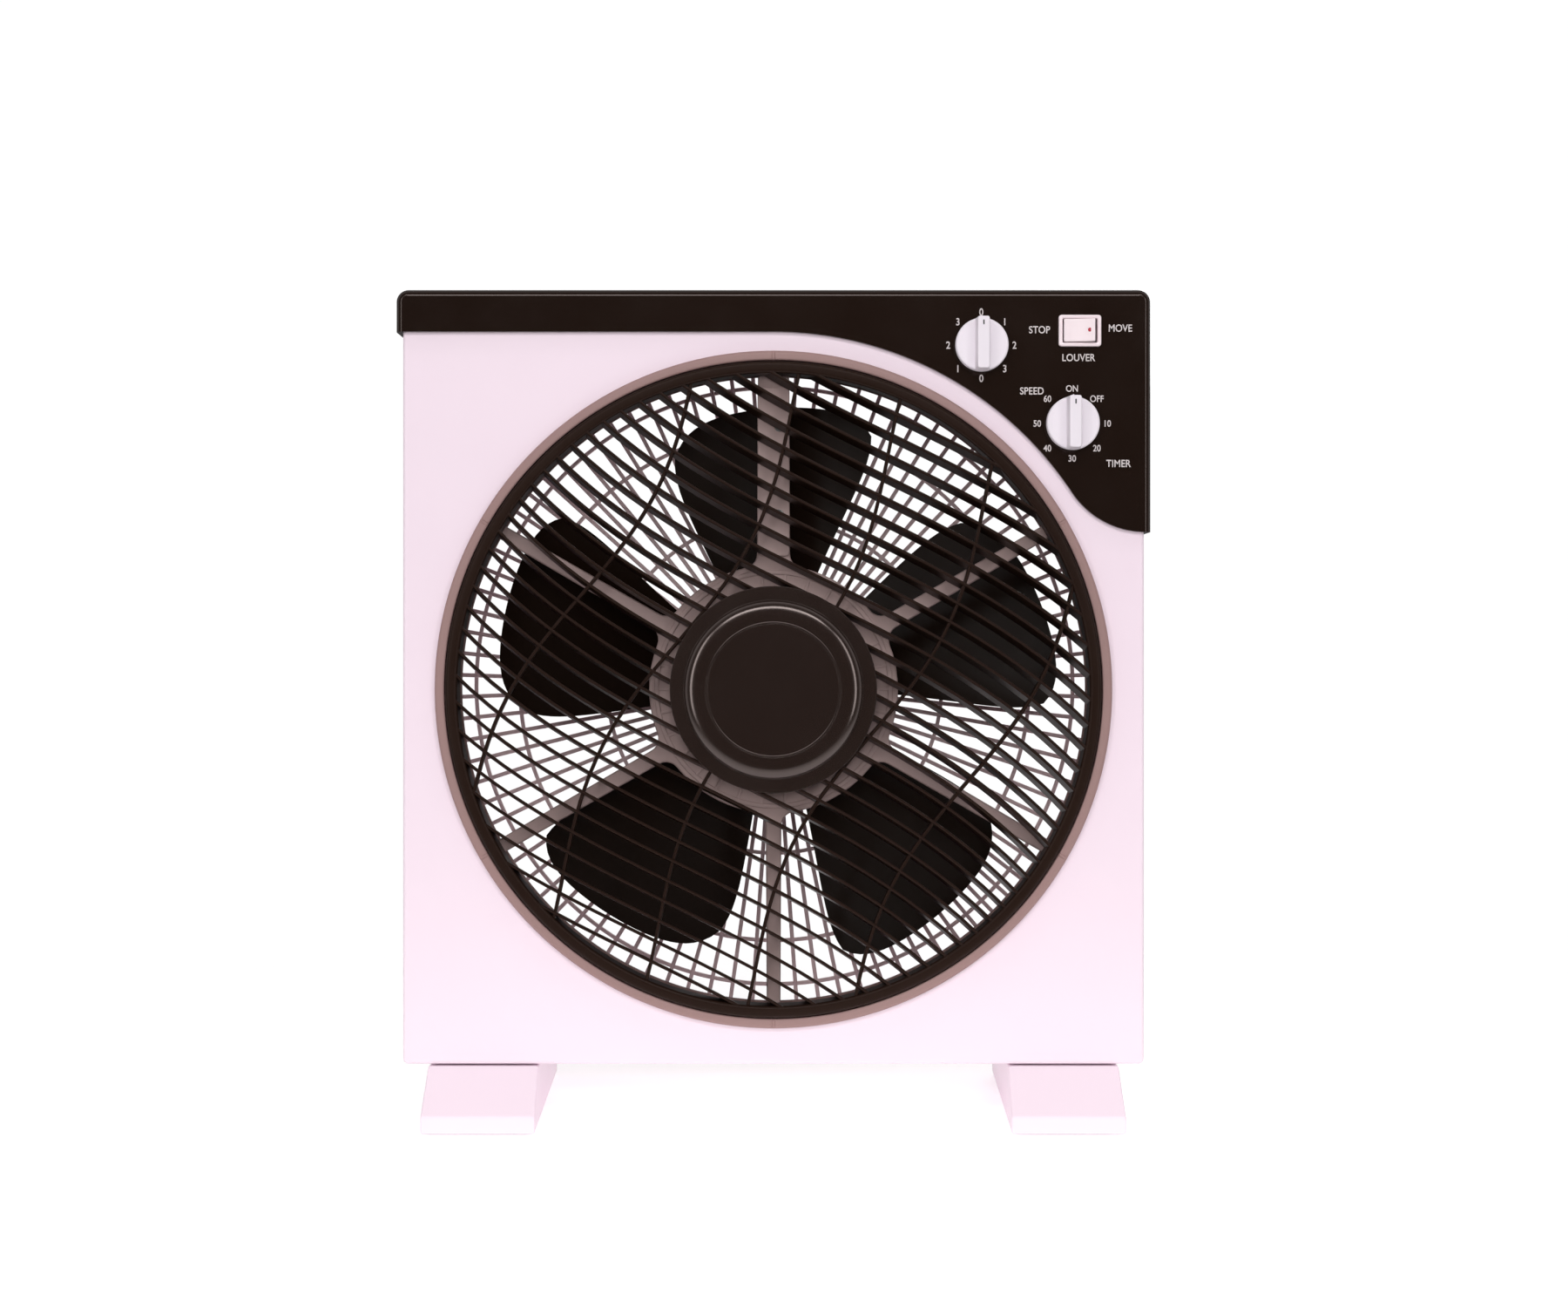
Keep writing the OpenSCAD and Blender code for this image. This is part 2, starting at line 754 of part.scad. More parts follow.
module blade_nut() {
    color(black) on_axis() difference() {
        turned([
            [0, nut_y - 7.3], [nut_r - 3, nut_y - 7.3], [nut_r - 0.5, nut_y - 5.5], [nut_r, nut_y], [0, nut_y]
        ]);
        rod(shaft_r, nut_y - 6, nut_y + 1);
        for (i = [0:11]) {
            rotate([0, 30 * i, 0]) at(nut_r + 0.5, 0) rod(1.2, nut_y - 8, nut_y + 1);
        }
    }
}

// Cross pin through the shaft
module pin_rod() {
    translate([-pin_half, pin_y, 0]) rotate([0, 90, 0]) cylinder(r = pin_r, h = 2 * pin_half);
}

module drive_pin() {
    color(steel) on_axis() pin_rod();
}

module motor_shaft() {
    color(steel) on_axis() difference() {
        rod(shaft_r, nut_y - 5.5, core_y1 + 13);
        pin_rod();
    }
}

module rotor_core() {
    color(steel) on_axis() tube(stator_bore_r - 0.4, shaft_r, core_y0, core_y1);
}

module thrust_washers() {
    color(steel) on_axis() {
        tube(7.5, shaft_r, pin_y + pin_r, pin_y + pin_r + 1);
        tube(7.5, shaft_r, core_y1 + 2, core_y1 + 3);
    }
}

module stator_core() {
    color(steel) on_axis() plate(core_y0, core_y1) difference() {
        circle(core_r);
        circle(stator_bore_r);
        for (i = [0:7]) {
            rotate(45 * i) translate([stator_bore_r + 6, 0]) circle(3.6);
        }
    }
}

module motor_windings() {
    r0 = stator_bore_r + 2;
    r1 = core_r - 4;
    color(copper) on_axis() for (y = [core_y0 - winding_h, core_y1]) {
        turned([
            [r0 + 1, y], [r1 - 2, y], [r1, y + 2], [r1, y + winding_h - 2],
            [r1 - 2, y + winding_h], [r0 + 1, y + winding_h], [r0, y + winding_h - 2], [r0, y + 2]
        ]);
    }
}

// End bell of the motor, its open side towards +y from the closed end at y0
module bell(y0) {
    rim_r = core_r + bell_wall;
    difference() {
        union() {
            turned([
                [bush_r, y0], [core_r - 6, y0], [rim_r, y0 + 7], [rim_r, y0 + bell_depth],
                [core_r, y0 + bell_depth], [core_r, y0 + 8], [core_r - 7.5, y0 + bell_wall],
                [bush_r + 3, y0 + bell_wall], [bush_r + 3, y0 + 7], [bush_r, y0 + 7]
            ]);
            for (a = bolt_angles) {
                rotate([0, -a, 0]) difference() {
                    at(bolt_pcd_r, 0) rod(5, y0 + ear_y0, y0 + ear_y1);
                    rod(core_r + 1, y0 + ear_y0 - 1, y0 + ear_y1 + 1);
                }
            }
        }
        for (a = bolt_angles) {
            rotate([0, -a, 0]) at(bolt_pcd_r, 0) rod(2, y0 + ear_y0 - 1, y0 + ear_y1 + 1);
        }
        for (a = [0:30:330]) {
            rotate([0, -a, 0]) at(stator_bore_r, 0) rod(4, y0 - 1, y0 + 4);
        }
    }
}

module motor_front_bell() {
    color(steel) on_axis() bell(core_y0 - 12);
}

module motor_rear_bell() {
    color(steel) on_axis() translate([0, core_y1 + 12, 0]) rotate([0, 0, 180]) bell(0);
}

module motor_bushes() {
    color([0.75, 0.55, 0.25]) on_axis() {
        tube(bush_r, shaft_r + run_gap, core_y0 - 14, core_y0 - 5);
        tube(bush_r, shaft_r + run_gap, core_y1 + 5, core_y1 + 13);
    }
}

module motor_bolts() {
    color(steel) on_axis() for (a = bolt_angles) {
        rotate([0, -a, 0]) at(bolt_pcd_r, 0) screw(motor_bolt, core_y0 - 0.5, core_y1 + 14);
    }
}

module motor_mount() {
    stand_y = core_y1 + 0.5;
    color(taupe) on_axis() difference() {
        union() {
            rod(bolt_pcd_r + 7, grille_y0 - 3, grille_y0);
            rod(grille_plate_r - 0.2, grille_y0, grille_y1);
            for (a = bolt_angles) {
                rotate([0, -a, 0]) at(bolt_pcd_r, 0) rod(5, stand_y, grille_y0 - 3);
            }
        }
        rod(9, grille_y0 - 4, grille_y0 - 1.5);
        rod(core_r + bell_wall + 0.2, stand_y - 1, core_y1 + 13);
        for (a = bolt_angles) {
            rotate([0, -a, 0]) at(bolt_pcd_r, 0) rod(motor_bolt[0] + 0.05, stand_y - 1, core_y1 + 15);
        }
        for (a = mount_angles) {
            rotate([0, -a, 0]) at(mount_screw_r, 0) rod(small_screw[0] + 0.1, grille_y0 - 4, grille_y1 + 1);
        }
    }
}

module mount_screws() {
    color(steel) on_axis() for (a = mount_angles) {
        rotate([0, -a, 0]) at(mount_screw_r, 0) screw(small_screw, grille_y1, grille_y0 - 3);
    }
}

// One ring of the grille about a radius
module grille_ring(r) {
    difference() {
        circle(r + grille_ring_w / 2);
        circle(r - grille_ring_w / 2);
    }
}

module rear_grille() {
    rib_r0 = bolt_pcd_r + 6;
    color(taupe) on_axis() difference() {
        plate(grille_y0, grille_y1) union() {
            difference() {
                grille_outline(0);
                circle(grille_r - grille_rim);
            }
            for (i = [0, 1, 3]) {
                grille_ring(grille_ring_r - ring_step * i);
            }
            difference() {
                circle(bolt_pcd_r + 8);
                circle(grille_plate_r);
            }
            for (i = [0:ribs - 1]) {
                rotate(360 / ribs * (i + 0.5)) translate([rib_r0, -rib_w / 2])
                    square([grille_r - 1 - rib_r0, rib_w]);
            }
        }
        for (a = grille_ears) {
            rotate([0, -a, 0]) at(grille_screw_r, 0) rod(small_screw[0] + 0.1, grille_y0 - 1, grille_y1 + 1);
        }
        for (a = mount_angles) {
            rotate([0, -a, 0]) at(mount_screw_r, 0) rod(small_screw[0] + 0.1, grille_y0 - 1, grille_y1 + 1);
        }
    }
}

module grille_screws() {
    color(steel) on_axis() for (a = grille_ears) {
        rotate([0, -a, 0]) at(grille_screw_r, 0) screw(small_screw, grille_y1, grille_boss_y + 3);
    }
}

module knob() {
    point_r = knob_r - 0.6;
    difference() {
        union() {
            turned([
                [0, knob_face_y], [knob_r - 1, knob_face_y], [knob_r, knob_face_y + 1],
                [knob_r, knob_rear_y], [0, knob_rear_y]
            ]);
            intersection() {
                slab(-knob_grip_w / 2, knob_grip_w / 2, knob_front_y, knob_face_y + 0.5, -knob_r, knob_r);
                rod(point_r, knob_front_y - 1, knob_face_y + 1.5);
            }
            plate(knob_face_y + 1, knob_rear_y)
                polygon([[-2, point_r], [0, knob_r + knob_pointer], [2, point_r]]);
        }
        rod(9, knob_rear_y - 2.8, panel_y);
        rod(shaft_knob_r, panel_y - 10, panel_y);
    }
}

module control_shaft() {
    rod(shaft_knob_r, panel_y - 10, panel_y + 21);
}

// Rotary control body behind the panel: threaded neck, nut and case
module control_neck() {
    rod(4.8, panel_y - 2.6, front_y + wall + 3);
}

module control_bore() {
    rod(shaft_knob_r + run_gap, panel_y - 4, panel_y + 21.5);
}

module hex_nut() {
    plate(panel_y - 2.4, panel_y) difference() {
        circle(7, $fn = 6);
        circle(4.8);
    }
}

module speed_knob() {
    color(knob_grey) on_axis() at(speed_x, speed_z) knob();
}

module speed_shaft() {
    color(steel) on_axis() at(speed_x, speed_z) control_shaft();
}

module speed_switch() {
    y0 = front_y + wall + 1;
    color(black) on_axis() at(speed_x, speed_z) difference() {
        union() {
            control_neck();
            rod(13.5, y0, y0 + 19);
            for (i = [0:4]) {
                at(-8 + 4 * i, 6) slab(-1.2, 1.2, y0 + 18, y0 + 26, -0.4, 0.4);
            }
        }
        control_bore();
    }
}

module timer_knob() {
    color(knob_grey) on_axis() at(timer_x, timer_z) knob();
}

module timer_shaft() {
    color(steel) on_axis() at(timer_x, timer_z) control_shaft();
}

module timer_case() {
    y0 = front_y + wall + 1;
    color(knob_grey) on_axis() at(timer_x, timer_z) difference() {
        union() {
            control_neck();
            rotate([0, -45, 0]) slab(-18, 20, y0, y0 + 24, -20, 20);
            for (x = [-6, 6]) {
                rotate([0, -45, 0]) at(x, 0) slab(-0.4, 0.4, y0 + 23, y0 + 31, -2.4, 2.4);
            }
        }
        control_bore();
    }
}

module control_nuts() {
    color(steel) on_axis() {
        at(speed_x, speed_z) hex_nut();
        at(timer_x, timer_z) hex_nut();
    }
}

module rocker_bezel() {
    color(white) on_axis() at(rocker_x, rocker_z) difference() {
        union() {
            plate(panel_y - 2, panel_y) rounded_rect(bezel[0], bezel[1], 1);
            plate(panel_y, panel_y + 18) square(switch_side, center = true);
        }
        slab(-well_half[0], well_half[0], panel_y - 3, panel_y + 9, -well_half[1], well_half[1]);
        translate([0, rocker_pivot_y, -6.3]) cylinder(r = 1.25, h = 12.6);
    }
}

module rocker_button() {
    top = panel_y - 3.6;
    color(white) on_axis() translate([rocker_x, rocker_pivot_y, rocker_z]) rotate([0, 0, -rocker_swing / 2]) {
        translate([0, -rocker_pivot_y, -rocker_half_z]) linear_extrude(2 * rocker_half_z) polygon([
            [-rocker_half_x, top - 0.4], [-4, top + 0.25], [0, top + 0.5], [4, top + 0.25],
            [rocker_half_x, top - 0.4], [rocker_half_x, top + 4.5], [5, panel_y + 5], [-5, panel_y + 5],
            [-rocker_half_x, top + 4.5]
        ]);
        translate([0, 0, -6.15]) cylinder(r = 1.2, h = 12.3);
    }
}

module rocker_terminals() {
    color([0.75, 0.6, 0.3]) on_axis() at(rocker_x, rocker_z) for (x = [-5, 0, 5]) {
        slab(x - 0.4, x + 0.4, panel_y + 18, panel_y + 26, -2.4, 2.4);
    }
}

module capacitor() {
    color(black) on_axis() translate(cap_at) cube(cap_box, center = true);
}

module capacitor_bracket() {
    y = cap_at[1] + cap_box[1] / 2;
    color(steel) on_axis() difference() {
        slab(cap_at[0] - cap_ear - 5, cap_at[0] + 14, y, y + 1.2, cap_at[2] - 6, cap_at[2] + 6);
        at(cap_at[0] - cap_ear, cap_at[2]) rod(1.8, y - 1, y + 3);
    }
}

module capacitor_screw() {
    y = cap_at[1] + cap_box[1] / 2;
    color(steel) on_axis() at(cap_at[0] - cap_ear, cap_at[2]) screw(cover_screw, y, rear_y - wall - 1.5);
}

module terminal_block() {
    color(white) on_axis() translate(block_at) difference() {
        cube(block_box, center = true);
        for (i = [-1, 0, 1]) {
            translate([10 * i + 5, -8, 0]) cube([2.4, 6, 20], center = true);
        }
        for (x = [-1, 1]) {
            at(x * block_screw_x, 0) rod(1.5, -9, 9);
        }
    }
}

module block_screws() {
    seat_y = block_at[1] - block_box[1] / 2;
    color(steel) on_axis() for (x = [-1, 1]) {
        at(block_at[0] + x * block_screw_x, block_at[2]) screw(small_screw, seat_y, rear_y - wall - 2);
    }
}

// Rubber gland for the supply cord, held in a square seat so that it can't turn
module cord_inlet() {
    color(rubber) on_axis() at(inlet_x, inlet_z) difference() {
        union() {
            plate(rear_y - 10, rear_y) square(inlet_side, center = true);
            rod(8.5, rear_y, rear_y + 2);
            plate(rear_y - 10.5, rear_y - 8) square(inlet_side + 3, center = true);
        }
        rod(inlet_bore_r, rear_y - 12, rear_y + 3);
    }
}

// Outline of a foot from the side, in [y, z]
module foot_side(inset) {
    top = foot_top_z - inset;
    polygon([
        [foot_front_y + inset, foot_sole_z], [foot_front_y + inset, foot_toe - inset * 0.4],
        [front_y + inset * 0.6, top], [rear_y - inset * 0.6, top],
        [foot_rear_y - inset, foot_toe - inset * 0.4], [foot_rear_y - inset, foot_sole_z]
    ]);
}

// Outline of a foot from above, tapering on its inner side
module foot_plan(inset) {
    half = foot_w / 2 - inset;
    polygon([
        [-half, foot_front_y - 1], [half, foot_front_y - 1],
        [half - foot_taper, foot_rear_y + 1], [-half, foot_rear_y + 1]
    ]);
}

module foot_block(inset) {
    intersection() {
        translate([-foot_w, 0, 0]) rotate([90, 0, 90]) linear_extrude(2 * foot_w) foot_side(inset);
        linear_extrude(foot_top_z) foot_plan(inset);
    }
}

module foot() {
    color(white) difference() {
        union() {
            difference() {
                foot_block(0);
                translate([0, 0, -e]) foot_block(wall);
            }
            for (y = foot_screw_y) {
                translate([0, y, foot_seat_z]) cylinder(r = 5, h = body_lift - foot_seat_z);
            }
            intersection() {
                foot_block(1);
                for (y = pad_y, x = pad_x) {
                    translate([x, y, foot_sole_z]) cylinder(r = 7.6, h = foot_top_z);
                }
            }
            intersection() {
                foot_block(1);
                union() {
                    for (y = foot_rib_y) {
                        translate([-foot_w / 2, y - 0.8, foot_sole_z + 2]) cube([foot_w, 1.6, foot_top_z]);
                    }
                }
            }
        }
        for (y = foot_screw_y) {
            translate([0, y, -1]) cylinder(r = 1.8, h = body_lift + 5);
        }
        for (y = pad_y, x = pad_x) {
            translate([x, y, 0]) cylinder(r = 6, h = 3);
        }
    }
}

module foot_left() {
    translate([-foot_x, 0, 0]) foot();
}

module foot_right() {
    translate([foot_x, 0, 0]) mirror([1, 0, 0]) foot();
}

module foot_pads() {
    color(rubber) for (side = [-1, 1], y = pad_y, x = pad_x) {
        translate([side * (foot_x - x), y, 0]) cylinder(r = 5.9, h = 3);
    }
}

module foot_screws() {
    color(steel) for (side = [-1, 1], y = foot_screw_y) {
        translate([side * foot_x, y, foot_seat_z]) {
            cylinder(r = foot_screw_r, h = 20);
            translate([0, 0, -2]) cylinder(r = 3.4, h = 2);
        }
    }
}

front_shell();
rear_shell();
top_cover();
cover_screws();
shell_screws();
guard();
guard_screws();
arm_cover();
arm_cover_screws();
louver_leads();
louver_motor();
louver_motor_screws();
louver_shaft();
louver_screw();
louver_grille();
louver_cap();
fan_blade();
blade_nut();
drive_pin();
motor_shaft();
rotor_core();
thrust_washers();
stator_core();
motor_windings();
motor_front_bell();
motor_rear_bell();
motor_bushes();
motor_bolts();
motor_mount();
mount_screws();
rear_grille();
grille_screws();
speed_knob();
speed_shaft();
speed_switch();
timer_knob();
timer_shaft();
timer_case();
control_nuts();
rocker_bezel();
rocker_button();
rocker_terminals();
capacitor();
capacitor_bracket();
capacitor_screw();
terminal_block();
block_screws();
cord_inlet();
foot_left();
foot_right();
foot_pads();
foot_screws();
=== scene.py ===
"""Looks of the box fan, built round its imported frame. Lengths are in millimetres unless a name ends in _m."""
import json
import math

import bmesh
import bpy
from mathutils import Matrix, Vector
from mathutils.geometry import tessellate_polygon


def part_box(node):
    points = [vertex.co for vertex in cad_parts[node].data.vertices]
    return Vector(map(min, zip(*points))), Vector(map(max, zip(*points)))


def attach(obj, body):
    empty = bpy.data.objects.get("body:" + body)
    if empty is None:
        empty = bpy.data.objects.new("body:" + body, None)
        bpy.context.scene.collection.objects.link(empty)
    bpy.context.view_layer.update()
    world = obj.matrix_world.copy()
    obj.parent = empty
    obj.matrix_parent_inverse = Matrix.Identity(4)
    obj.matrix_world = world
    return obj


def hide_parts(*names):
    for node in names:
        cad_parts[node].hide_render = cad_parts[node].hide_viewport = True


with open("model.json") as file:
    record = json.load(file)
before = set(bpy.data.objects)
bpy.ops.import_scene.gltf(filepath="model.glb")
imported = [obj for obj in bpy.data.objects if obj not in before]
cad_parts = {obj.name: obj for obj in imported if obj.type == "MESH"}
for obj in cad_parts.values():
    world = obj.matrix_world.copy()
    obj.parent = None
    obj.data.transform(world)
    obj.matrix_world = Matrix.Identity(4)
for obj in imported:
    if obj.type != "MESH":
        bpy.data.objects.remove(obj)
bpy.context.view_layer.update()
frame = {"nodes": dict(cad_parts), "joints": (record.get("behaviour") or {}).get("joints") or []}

MM = 0.001
TAU = 2 * math.pi
JOINT_AT = {j["name"]: Vector(j["pos_m"]) / MM for j in frame["joints"]}


def flat(point):
    """A place on the floor plan of the front view: the same point with no depth."""
    return Vector((point.x, 0, point.z))


def box_mm(node):
    """A CAD node's box in millimetres, with heights measured from the fan's axis."""
    lo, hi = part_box(node)
    return lo / MM - AXIS, hi / MM - AXIS


AXIS = flat(JOINT_AT["rotor_spin"])
SPEED_AT = flat(JOINT_AT["speed_turn"]) - AXIS
TIMER_AT = flat(JOINT_AT["timer_turn"]) - AXIS
ROCKER_AT = JOINT_AT["rocker_tilt"] - AXIS

BODY_LO, BODY_HI = box_mm("front_shell")
FRONT_Y, SPLIT_Y = BODY_LO.y, BODY_HI.y
REAR_Y = box_mm("rear_shell")[1].y
COVER_LO, COVER_HI = box_mm("top_cover")
PANEL_Y = COVER_LO.y
GUARD_LO, GUARD_HI = box_mm("guard")
LOUVER_LO, LOUVER_HI = box_mm("louver_grille")
CAP_HI = box_mm("louver_cap")[1]
GRILLE_LO, GRILLE_HI = box_mm("rear_grille")
KNOB_LO, KNOB_HI = box_mm("speed_knob")
BEZEL_LO, BEZEL_HI = box_mm("rocker_bezel")

WALL = 2.5
OPENING_R = 164.4
STRIP_H = 20.9
PANEL_FILLET = 43.5
SHELF_Y = -33
HUB_PLATE_R = 62
CUP_R = 27
ARM_FRONT_Y = -41
SLAT_PITCH = 9.8
SLAT_SIDE = 15
SLAT_BEND = 0.128
SLAT_TURN = math.radians(64)
WIRE_PITCH, WIRE_WAVE, WIRE_WAVELENGTH = 52.7, 10.8, 258
LOUVER_BAND = 5.9
LOUVER_HUB_R = 50
NUT_Y = -22
FAN_HUB_R = 38
FAN_TIP_R = 145.5
BLADES = 5
GUARD_ARMS = [30 + 60 * i for i in range(6)]


# ---------------------------------------------------------------- outlines

def polar(radius, degrees, centre=(0, 0)):
    turn = math.radians(degrees)
    return Vector((centre[0] + radius * math.cos(turn), centre[1] + radius * math.sin(turn)))


def arc(radius, start, end, steps, centre=(0, 0)):
    return [polar(radius, start + (end - start) * i / steps, centre) for i in range(steps + 1)]


def circle(radius, steps=192, centre=(0, 0)):
    return [polar(radius, 360 * i / steps, centre) for i in range(steps)]


def rounded(points, radii, steps=5, closed=True):
    """An outline with its corners rounded, by one radius or one for each point."""
    points = [Vector(p) for p in points]
    out = []
    for i, p in enumerate(points):
        radius = radii[i] if isinstance(radii, (list, tuple)) else radii
        if not radius or (not closed and i in (0, len(points) - 1)):
            out.append(p)
            continue
        back, ahead = points[i - 1] - p, points[(i + 1) % len(points)] - p
        half = back.angle(ahead) / 2
        cut = min(radius / math.tan(half), 0.49 * back.length, 0.49 * ahead.length)
        back.normalize()
        ahead.normalize()
        centre = p + (back + ahead).normalized() * cut / math.cos(half)
        start, end = p + back * cut - centre, p + ahead * cut - centre
        turn = math.atan2(start.x * end.y - start.y * end.x, start.dot(end))
        for k in range(steps + 1):
            c, s = math.cos(turn * k / steps), math.sin(turn * k / steps)
            out.append(centre + Vector((start.x * c - start.y * s, start.x * s + start.y * c)))
    return out


def rectangle(x0, x1, z0, z1, radius=0, steps=5):
    corners = [(x0, z0), (x1, z0), (x1, z1), (x0, z1)]
    return rounded(corners, radius, steps) if radius else [Vector(c) for c in corners]


def inset(points, depths):
    """Moves the sides of an anticlockwise outline inwards, by one depth or one for each point."""
    out = []
    for i, p in enumerate(points):
        depth = depths[i] if isinstance(depths, (list, tuple)) else depths
        before = (p - points[i - 1]).normalized()
        after = (points[(i + 1) % len(points)] - p).normalized()
        side = Vector((-before.y, before.x))
        middle = (side + Vector((-after.y, after.x))).normalized()
        out.append(p + middle * depth / max(middle.dot(side), 0.4))
    return out


def edge_levels(y0, y1, r0, r1, steps):
    """(y, inset) pairs that run from the face at y0 to the face at y1 with a rounded edge at each."""
    quarter = [math.pi / 2 * k / steps for k in range(steps + 1)]
    near = [(y0 + r0 * (1 - math.cos(t)), r0 * (1 - math.sin(t))) for t in quarter] if r0 else [(y0, 0)]
    far = [(y1 - r1 * (1 - math.cos(t)), r1 * (1 - math.sin(t))) for t in reversed(quarter)] if r1 else [(y1, 0)]
    return near + far


# ---------------------------------------------------------------- solids, as (points, faces)

def band(low, high, n):
    """Faces between two rings of n points, numbered from low and from high."""
    return [[low + i, low + (i + 1) % n, high + (i + 1) % n, high + i] for i in range(n)]


def walls(n, rings, base=0):
    """Faces between neighbouring rings of n points, numbered one after another from base."""
    return [face for k in range(rings - 1) for face in band(base + k * n, base + (k + 1) * n, n)]


def ends(n, total):
    """Flat faces across the first and the last ring of a solid with this many points."""
    return [list(range(n)), list(range(total - n, total))]


def skinned(rings):
    """A solid through rings of points, closed at both ends."""
    n, points = len(rings[0]), [p for ring in rings for p in ring]
    return points, walls(n, len(rings)) + ends(n, len(points))


def lathe(profile, segments=192):
    """Turns (radius, y) points about the front-to-back axis."""
    n = len(profile)
    points = []
    for k in range(segments):
        c, s = math.cos(TAU * k / segments), math.sin(TAU * k / segments)
        points += [(r * c, y, r * s) for r, y in profile]
    return points, walls(n, segments) + band((segments - 1) * n, 0, n)


def fill(points, loops):
    """Faces across loops of point numbers that lie in one plane of constant y, the first loop being the outer one."""
    order = [i for loop in loops for i in loop]
    plan = [[Vector((points[i][0], points[i][2], 0)) for i in loop] for loop in loops]
    return [[order[i] for i in tri] for tri in tessellate_polygon(plan)]


def extruded(outline, y0, y1, r0=0.5, r1=0.5, holes=(), steps=3):
    """A plate from y0 to y1 with rounded edges, seen from the front as outline and holes."""
    levels = edge_levels(y0, y1, r0, r1, steps)
    points, faces, first, last = [], [], [], []
    for number, ring in enumerate([outline, *holes]):
        base, n = len(points), len(ring)
        for y, depth in levels:
            points += [(p.x, y, p.y) for p in inset(ring, -depth if number else depth)]
        faces += walls(n, len(levels), base)
        first.append(list(range(base, base + n)))
        last.append(list(range(base + (len(levels) - 1) * n, base + len(levels) * n)))
    return points, faces + fill(points, first) + fill(points, last)


def swept(path, section):
    """Sweeps (across, y) points along a path of front-view points."""
    points, n = [], len(section)
    for i, p in enumerate(path):
        along = (path[min(i + 1, len(path) - 1)] - path[max(i - 1, 0)]).normalized()
        points += [(p.x - along.y * a, y, p.y + along.x * a) for a, y in section]
    return points, ends(n, len(points)) + walls(n, len(path))


def turned_y(solid, degrees):
    """Turns a solid about the front-to-back axis, anticlockwise as seen from the front."""
    c, s = math.cos(math.radians(degrees)), math.sin(math.radians(degrees))
    return [(x * c - z * s, y, x * s + z * c) for x, y, z in solid[0]], solid[1]


def weigh_normals(thing):
    """Keeps flat faces flat in their shading beside small rounded edges."""
    even = thing.modifiers.new("normals", "WEIGHTED_NORMAL")
    even.keep_sharp = True


def smoothed(mesh, crisp):
    """Shades a mesh smoothly, but for edges sharper than an angle in degrees."""
    mesh.polygons.foreach_set("use_smooth", [True] * len(mesh.polygons))
    mesh.set_sharp_from_angle(angle=math.radians(crisp))


def baked(thing):
    """The mesh that an object makes with its modifiers applied."""
    bpy.context.view_layer.update()
    return bpy.data.meshes.new_from_object(thing.evaluated_get(bpy.context.evaluated_depsgraph_get()))


def linked(name, data):
    """A new object in the scene."""
    thing = bpy.data.objects.new(name, data)
    bpy.context.scene.collection.objects.link(thing)
    return thing


class Shape:
    """Gathers the solids of one piece, in millimetres about a place in the fan's frame."""

    def __init__(self, centre=Vector((0, 0, 0))):
        self.centre = centre + AXIS
        self.points, self.faces = [], []

    def add(self, solid):
        base = len(self.points)
        self.points += [Vector(p) for p in solid[0]]
        self.faces += [[i + base for i in face] for face in solid[1]]
        return self

    def piece(self, name, body, material, slot, *nodes, crisp=32, closed=True):
        """Makes the mesh, lets it ride on its body and stand for its CAD nodes."""
        mesh = bpy.data.meshes.new(name)
        mesh.from_pydata([(p + self.centre) * MM for p in self.points], [], self.faces)
        work = bmesh.new()
        work.from_mesh(mesh)
        bmesh.ops.remove_doubles(work, verts=work.verts, dist=1e-6)
        bmesh.ops.dissolve_degenerate(work, dist=1e-7, edges=work.edges)
        if closed:
            bmesh.ops.recalc_face_normals(work, faces=work.faces)
        work.to_mesh(mesh)
        work.free()
        smoothed(mesh, crisp)
        thing = linked(name, mesh)
        mesh.materials.append(material)
        weigh_normals(thing)
        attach(thing, body)
        if nodes:
            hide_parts(*nodes)
        return thing


# ---------------------------------------------------------------- materials

def new_material(name):
    """A material with its nodes, its links, its shader and a source of object coordinates."""
    material = bpy.data.materials.new(name)
    material.use_nodes = True
    nodes, links = material.node_tree.nodes, material.node_tree.links
    return material, nodes, links, nodes["Principled BSDF"], nodes.new("ShaderNodeTexCoord")


def relief(nodes, links, height, shader, strength, depth_m):
    """Raises the surface's shading by a pattern."""
    bump = nodes.new("ShaderNodeBump")
    bump.inputs["Strength"].default_value = strength
    bump.inputs["Distance"].default_value = depth_m
    links.new(height, bump.inputs["Height"])
    links.new(bump.outputs["Normal"], shader.inputs["Normal"])


def noise(nodes, links, where, scale, detail=4, rough=0.55):
    tex = nodes.new("ShaderNodeTexNoise")
    tex.inputs["Scale"].default_value = scale
    tex.inputs["Detail"].default_value = detail
    tex.inputs["Roughness"].default_value = rough
    links.new(where.outputs["Object"], tex.inputs["Vector"])
    return tex.outputs["Fac"]


def ramp(nodes, links, value, low, high, start=0.35, end=0.65):
    """Spreads a noise value between two grey levels or two colours."""
    step = nodes.new("ShaderNodeValToRGB")
    for stop, position, level in zip(step.color_ramp.elements, (start, end), (low, high)):
        stop.position = position
        stop.color = (*level, 1) if isinstance(level, tuple) else (level, level, level, 1)
    links.new(value, step.inputs["Fac"])
    return step.outputs["Color"]


